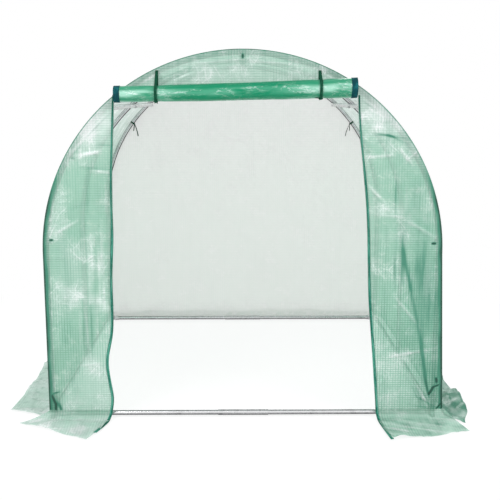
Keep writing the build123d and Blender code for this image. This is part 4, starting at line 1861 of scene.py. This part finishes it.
@dataclass
class FrameBolts:
    """Bolts with washers and wing nuts at the frame's joints."""

    sizes: Sizes
    plate: float = 0.0024
    gap: float = 0.0003
    purlin_angle: float = 48.0
    joint_drop: float = 0.028  # from a leg's top down to its bolt
    wing_root: tuple[float, float] = (0.0035, 0.0028)  # aside and up from the nut's seat
    wing_reach: float = 0.0085  # how far a wing reaches on, both aside and up
    wing_width: float = 0.0052
    wing_thick: float = 0.0017
    head: Profile = ((0.0028, -0.0012), (0.0058, -0.0006), (0.0060, 0.0003))
    washer: Profile = ((0.0068, 0.0002), (0.0068, 0.0014))
    hub: Profile = ((0.0050, 0.0014), (0.0046, 0.0050), (0.0036, 0.0066))
    thread: Profile = ((0.0029, 0.0066), (0.0027, 0.0120))

    def build(self) -> None:
        """Make every bolt as one piece."""
        sizes = self.sizes
        maker = MeshMaker()
        side_z = sum(c.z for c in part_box("ground_rail_right")) / 2
        end_z = sum(c.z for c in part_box("front_rail_right")) / 2
        joint_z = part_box("front_leg_right")[1].z - self.joint_drop
        purlin = radians(self.purlin_angle)
        for number, y in enumerate((-sizes.hoop_y, 0.0, sizes.hoop_y)):
            plates = 1 if y else 2
            for turn in (purlin, pi / 2, pi - purlin):
                out = Vector((cos(turn), 0, sin(turn)))
                at = Vector((0, y, sizes.spring)) + out * sizes.leg_x
                self._add_bolt(maker, at, -out, plates, number * 7 + int(turn * 5))
            for side in Side:
                inward = Vector((-side.value, 0, 0))
                rail = Vector((side.value * sizes.leg_x, y, side_z))
                self._add_bolt(maker, rail, inward, plates, number + 3)
                joint = Vector((side.value * sizes.leg_x, y, joint_z))
                self._add_bolt(maker, joint, inward, 0, number + 5)
                if y:
                    foot = Vector((side.value * sizes.leg_x, y, end_z))
                    toward = Vector((0, -1 if y > 0 else 1, 0))
                    self._add_bolt(maker, foot, toward, 1, number + 9)
        bolts = maker.build("frame_bolts", ZINC, smooth=False)
        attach(bolts, "root")

    def _add_bolt(
        self, maker: MeshMaker, at: Vector, inward: Vector, plates: int, spin: int
    ) -> None:
        """Add a bolt, its washer and its wing nut.

        Args:
            maker: the mesh to add to.
            at: the hoop tube's middle.
            inward: direction from the head to the nut.
            plates: how many flattened tube ends lie under the nut.
            spin: picks how the wings are turned.
        """
        frame = frame_along(at, inward) @ Matrix.Rotation(spin * 0.9, 4, "Z")
        tube = self.sizes.tube
        seat = tube + plates * (self.plate + self.gap)
        shapes = ((self.head, -tube, 16), (self.washer, seat, 20), (self.hub, seat, 14))
        for profile, base, sides in (*shapes, (self.thread, seat, 12)):
            maker.add_turned(frame, [(radius, base + up) for radius, up in profile], sides)
        root_aside, root_up = self.wing_root
        for way in (-1, 1):
            path, wide = [], []
            for step in range(7):
                share = step / 6
                across = way * (root_aside + self.wing_reach * share)
                up = seat + root_up + self.wing_reach * share**1.4
                path.append(frame @ Vector((across, 0.0, up)))
                wide.append(frame.to_3x3() @ Vector((0.0, 0.0, 1.0)))
            maker.add_strip(path, wide, self.wing_width, self.wing_thick)


@dataclass
class TubeFrame:
    """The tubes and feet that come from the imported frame, dressed in their finishes."""

    nodes: dict[str, bpy.types.Object]

    def dress(self) -> None:
        """Give each shown node its material, by the words in its name."""
        finishes = {"purlin": ZINC_ALONG, "ground": ZINC_ALONG, "rail": ZINC_ACROSS}
        finishes |= {"leg": ZINC, "bow": ZINC, "caps": PLASTIC}
        for name, node in self.nodes.items():
            words = name.split("_")
            finish = next((found for word, found in finishes.items() if word in words), None)
            if finish:
                node.data.materials.clear()
                node.data.materials.append(finish.material())
                log.info("%s: %s", name, finish.name)


# ------------------------------------------------------------------ studio


@dataclass
class Studio:
    """Floor, lamps, world and camera."""

    camera_place: Point = (-0.009, -5.18, 1.632)
    tilt: float = 10.15
    pan: float = 0.60
    lens: float = 61.2
    sensor: float = 36.0
    aim: Point = (0, 0, 0.9)  # where the lamps point
    floor_reach: float = 30.0
    floor_drop: float = 0.0005  # how far the floor lies under the tunnel's feet
    lamps: tuple[tuple[str, Point, float, float], ...] = (
        ("key", (-3.2, -4.2, 4.2), 190.0, 2.6),
        ("fill", (3.8, -3.4, 3.0), 110.0, 2.4),
        ("back", (0.6, 4.6, 3.6), 150.0, 3.0),
    )  # name, place, watts and width of each

    def build(self) -> None:
        """Set up everything that isn't part of the tunnel."""
        self._world()
        self._floor()
        for lamp in self.lamps:
            self._lamp(*lamp)
        self._camera()
        bpy.context.scene.view_settings.view_transform = "Standard"

    def _world(self) -> None:
        """White all round the tunnel."""
        world = bpy.data.worlds.new("studio")
        bpy.context.scene.world = world
        world.use_nodes = True
        tree = Tree(world.node_tree)
        white = tree.add("ShaderNodeBackground", None, {"Color": (1, 1, 1), "Strength": 1.0})
        tree.add("ShaderNodeOutputWorld", None, {"Surface": white})

    def _floor(self) -> None:
        """Pale floor that keeps a faint shadow near the tunnel."""
        maker = MeshMaker()
        reach = self.floor_reach
        corners = [(-reach, -reach), (reach, -reach), (reach, reach), (-reach, reach)]
        for corner in corners:
            maker.add_point((*corner, -self.floor_drop), corner)
        maker.faces.append((0, 1, 2, 3))
        floor = maker.build("floor", FloorFinish(), smooth=False)

    def _lamp(self, name: str, place: Point, power: float, size: float) -> None:
        """Add a soft lamp that points at the tunnel.

        Args:
            name: the lamp's name.
            place: where it is.
            power: its power in watts.
            size: its width.
        """
        lamp = bpy.data.lights.new(name, "AREA")
        lamp.energy = power
        lamp.size = size
        made = bpy.data.objects.new(name, lamp)
        made.location = place
        toward = Vector(self.aim) - Vector(place)
        made.rotation_euler = toward.to_track_quat("-Z", "Y").to_euler()
        bpy.context.scene.collection.objects.link(made)

    def _camera(self) -> None:
        """Add the camera."""
        data = bpy.data.cameras.new("camera")
        data.lens = self.lens
        data.sensor_width = self.sensor
        camera = bpy.data.objects.new("camera", data)
        camera.location = self.camera_place
        camera.rotation_euler = (radians(90.0 - self.tilt), 0.0, radians(-self.pan))
        bpy.context.scene.collection.objects.link(camera)
        bpy.context.scene.camera = camera


@dataclass(frozen=True)
class FloorFinish(Finish):
    """White floor that shows shadows only near the tunnel."""

    name: str = "floor"

    def surface(self, tree: Tree) -> Added:
        """Build the floor's shader.

        Args:
            tree: the material's empty tree.

        Returns:
            The shader's last node.
        """
        place = tree.add("ShaderNodeTexCoord").out("Object")
        away = tree.add("ShaderNodeVectorMath", {"operation": "LENGTH"}, {0: place}).value("Value")
        path = tree.add("ShaderNodeLightPath")
        seen = path.value("Is Camera Ray") | path.value("Is Glossy Ray")
        plain = tree.skin((0.93, 0.93, 0.93), 0.9)
        glow = tree.add("ShaderNodeEmission", None, {"Color": (1, 1, 1), "Strength": 1.0})
        share = (away.rise(1.3, 2.6) * 0.18 + 0.82) * seen
        return tree.add("ShaderNodeMixShader", None, {0: share, 1: plain, 2: glow})


# ------------------------------------------------------------------ build


def main() -> None:
    """Build the whole scene."""
    logging.basicConfig(level=logging.INFO, format="%(name)s %(message)s")
    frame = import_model()
    sizes = Sizes()
    TubeFrame(frame["nodes"]).dress()
    RoofSheet(sizes).build()
    low, high = (-1.0, 0.05), (1.0, sizes.top)
    wear = Wear(FRONT_MARKS + draw_creases(150, seed=3, low=low, high=high, height=0.004))
    front = EndSheet(sizes, End.FRONT, FRONT_FLAPS, FILM, wear, step=0.005, seed=3.0)
    front.build()
    wear = Wear(draw_creases(60, seed=8, low=low, high=high, height=0.003))
    back = EndSheet(
        sizes, End.BACK, BACK_FLAPS, BACK_FILM, wear, step=0.016, seed=8.0, swell=0.004,
        landing=0.012,
    )
    back.build()
    DoorBinding(front).build()
    RolledDoor(sizes).build()
    for end in End:
        HoopTies(sizes, end).build()
    FrameBolts(sizes).build()
    Studio().build()


if __name__ == "__main__":
    main()
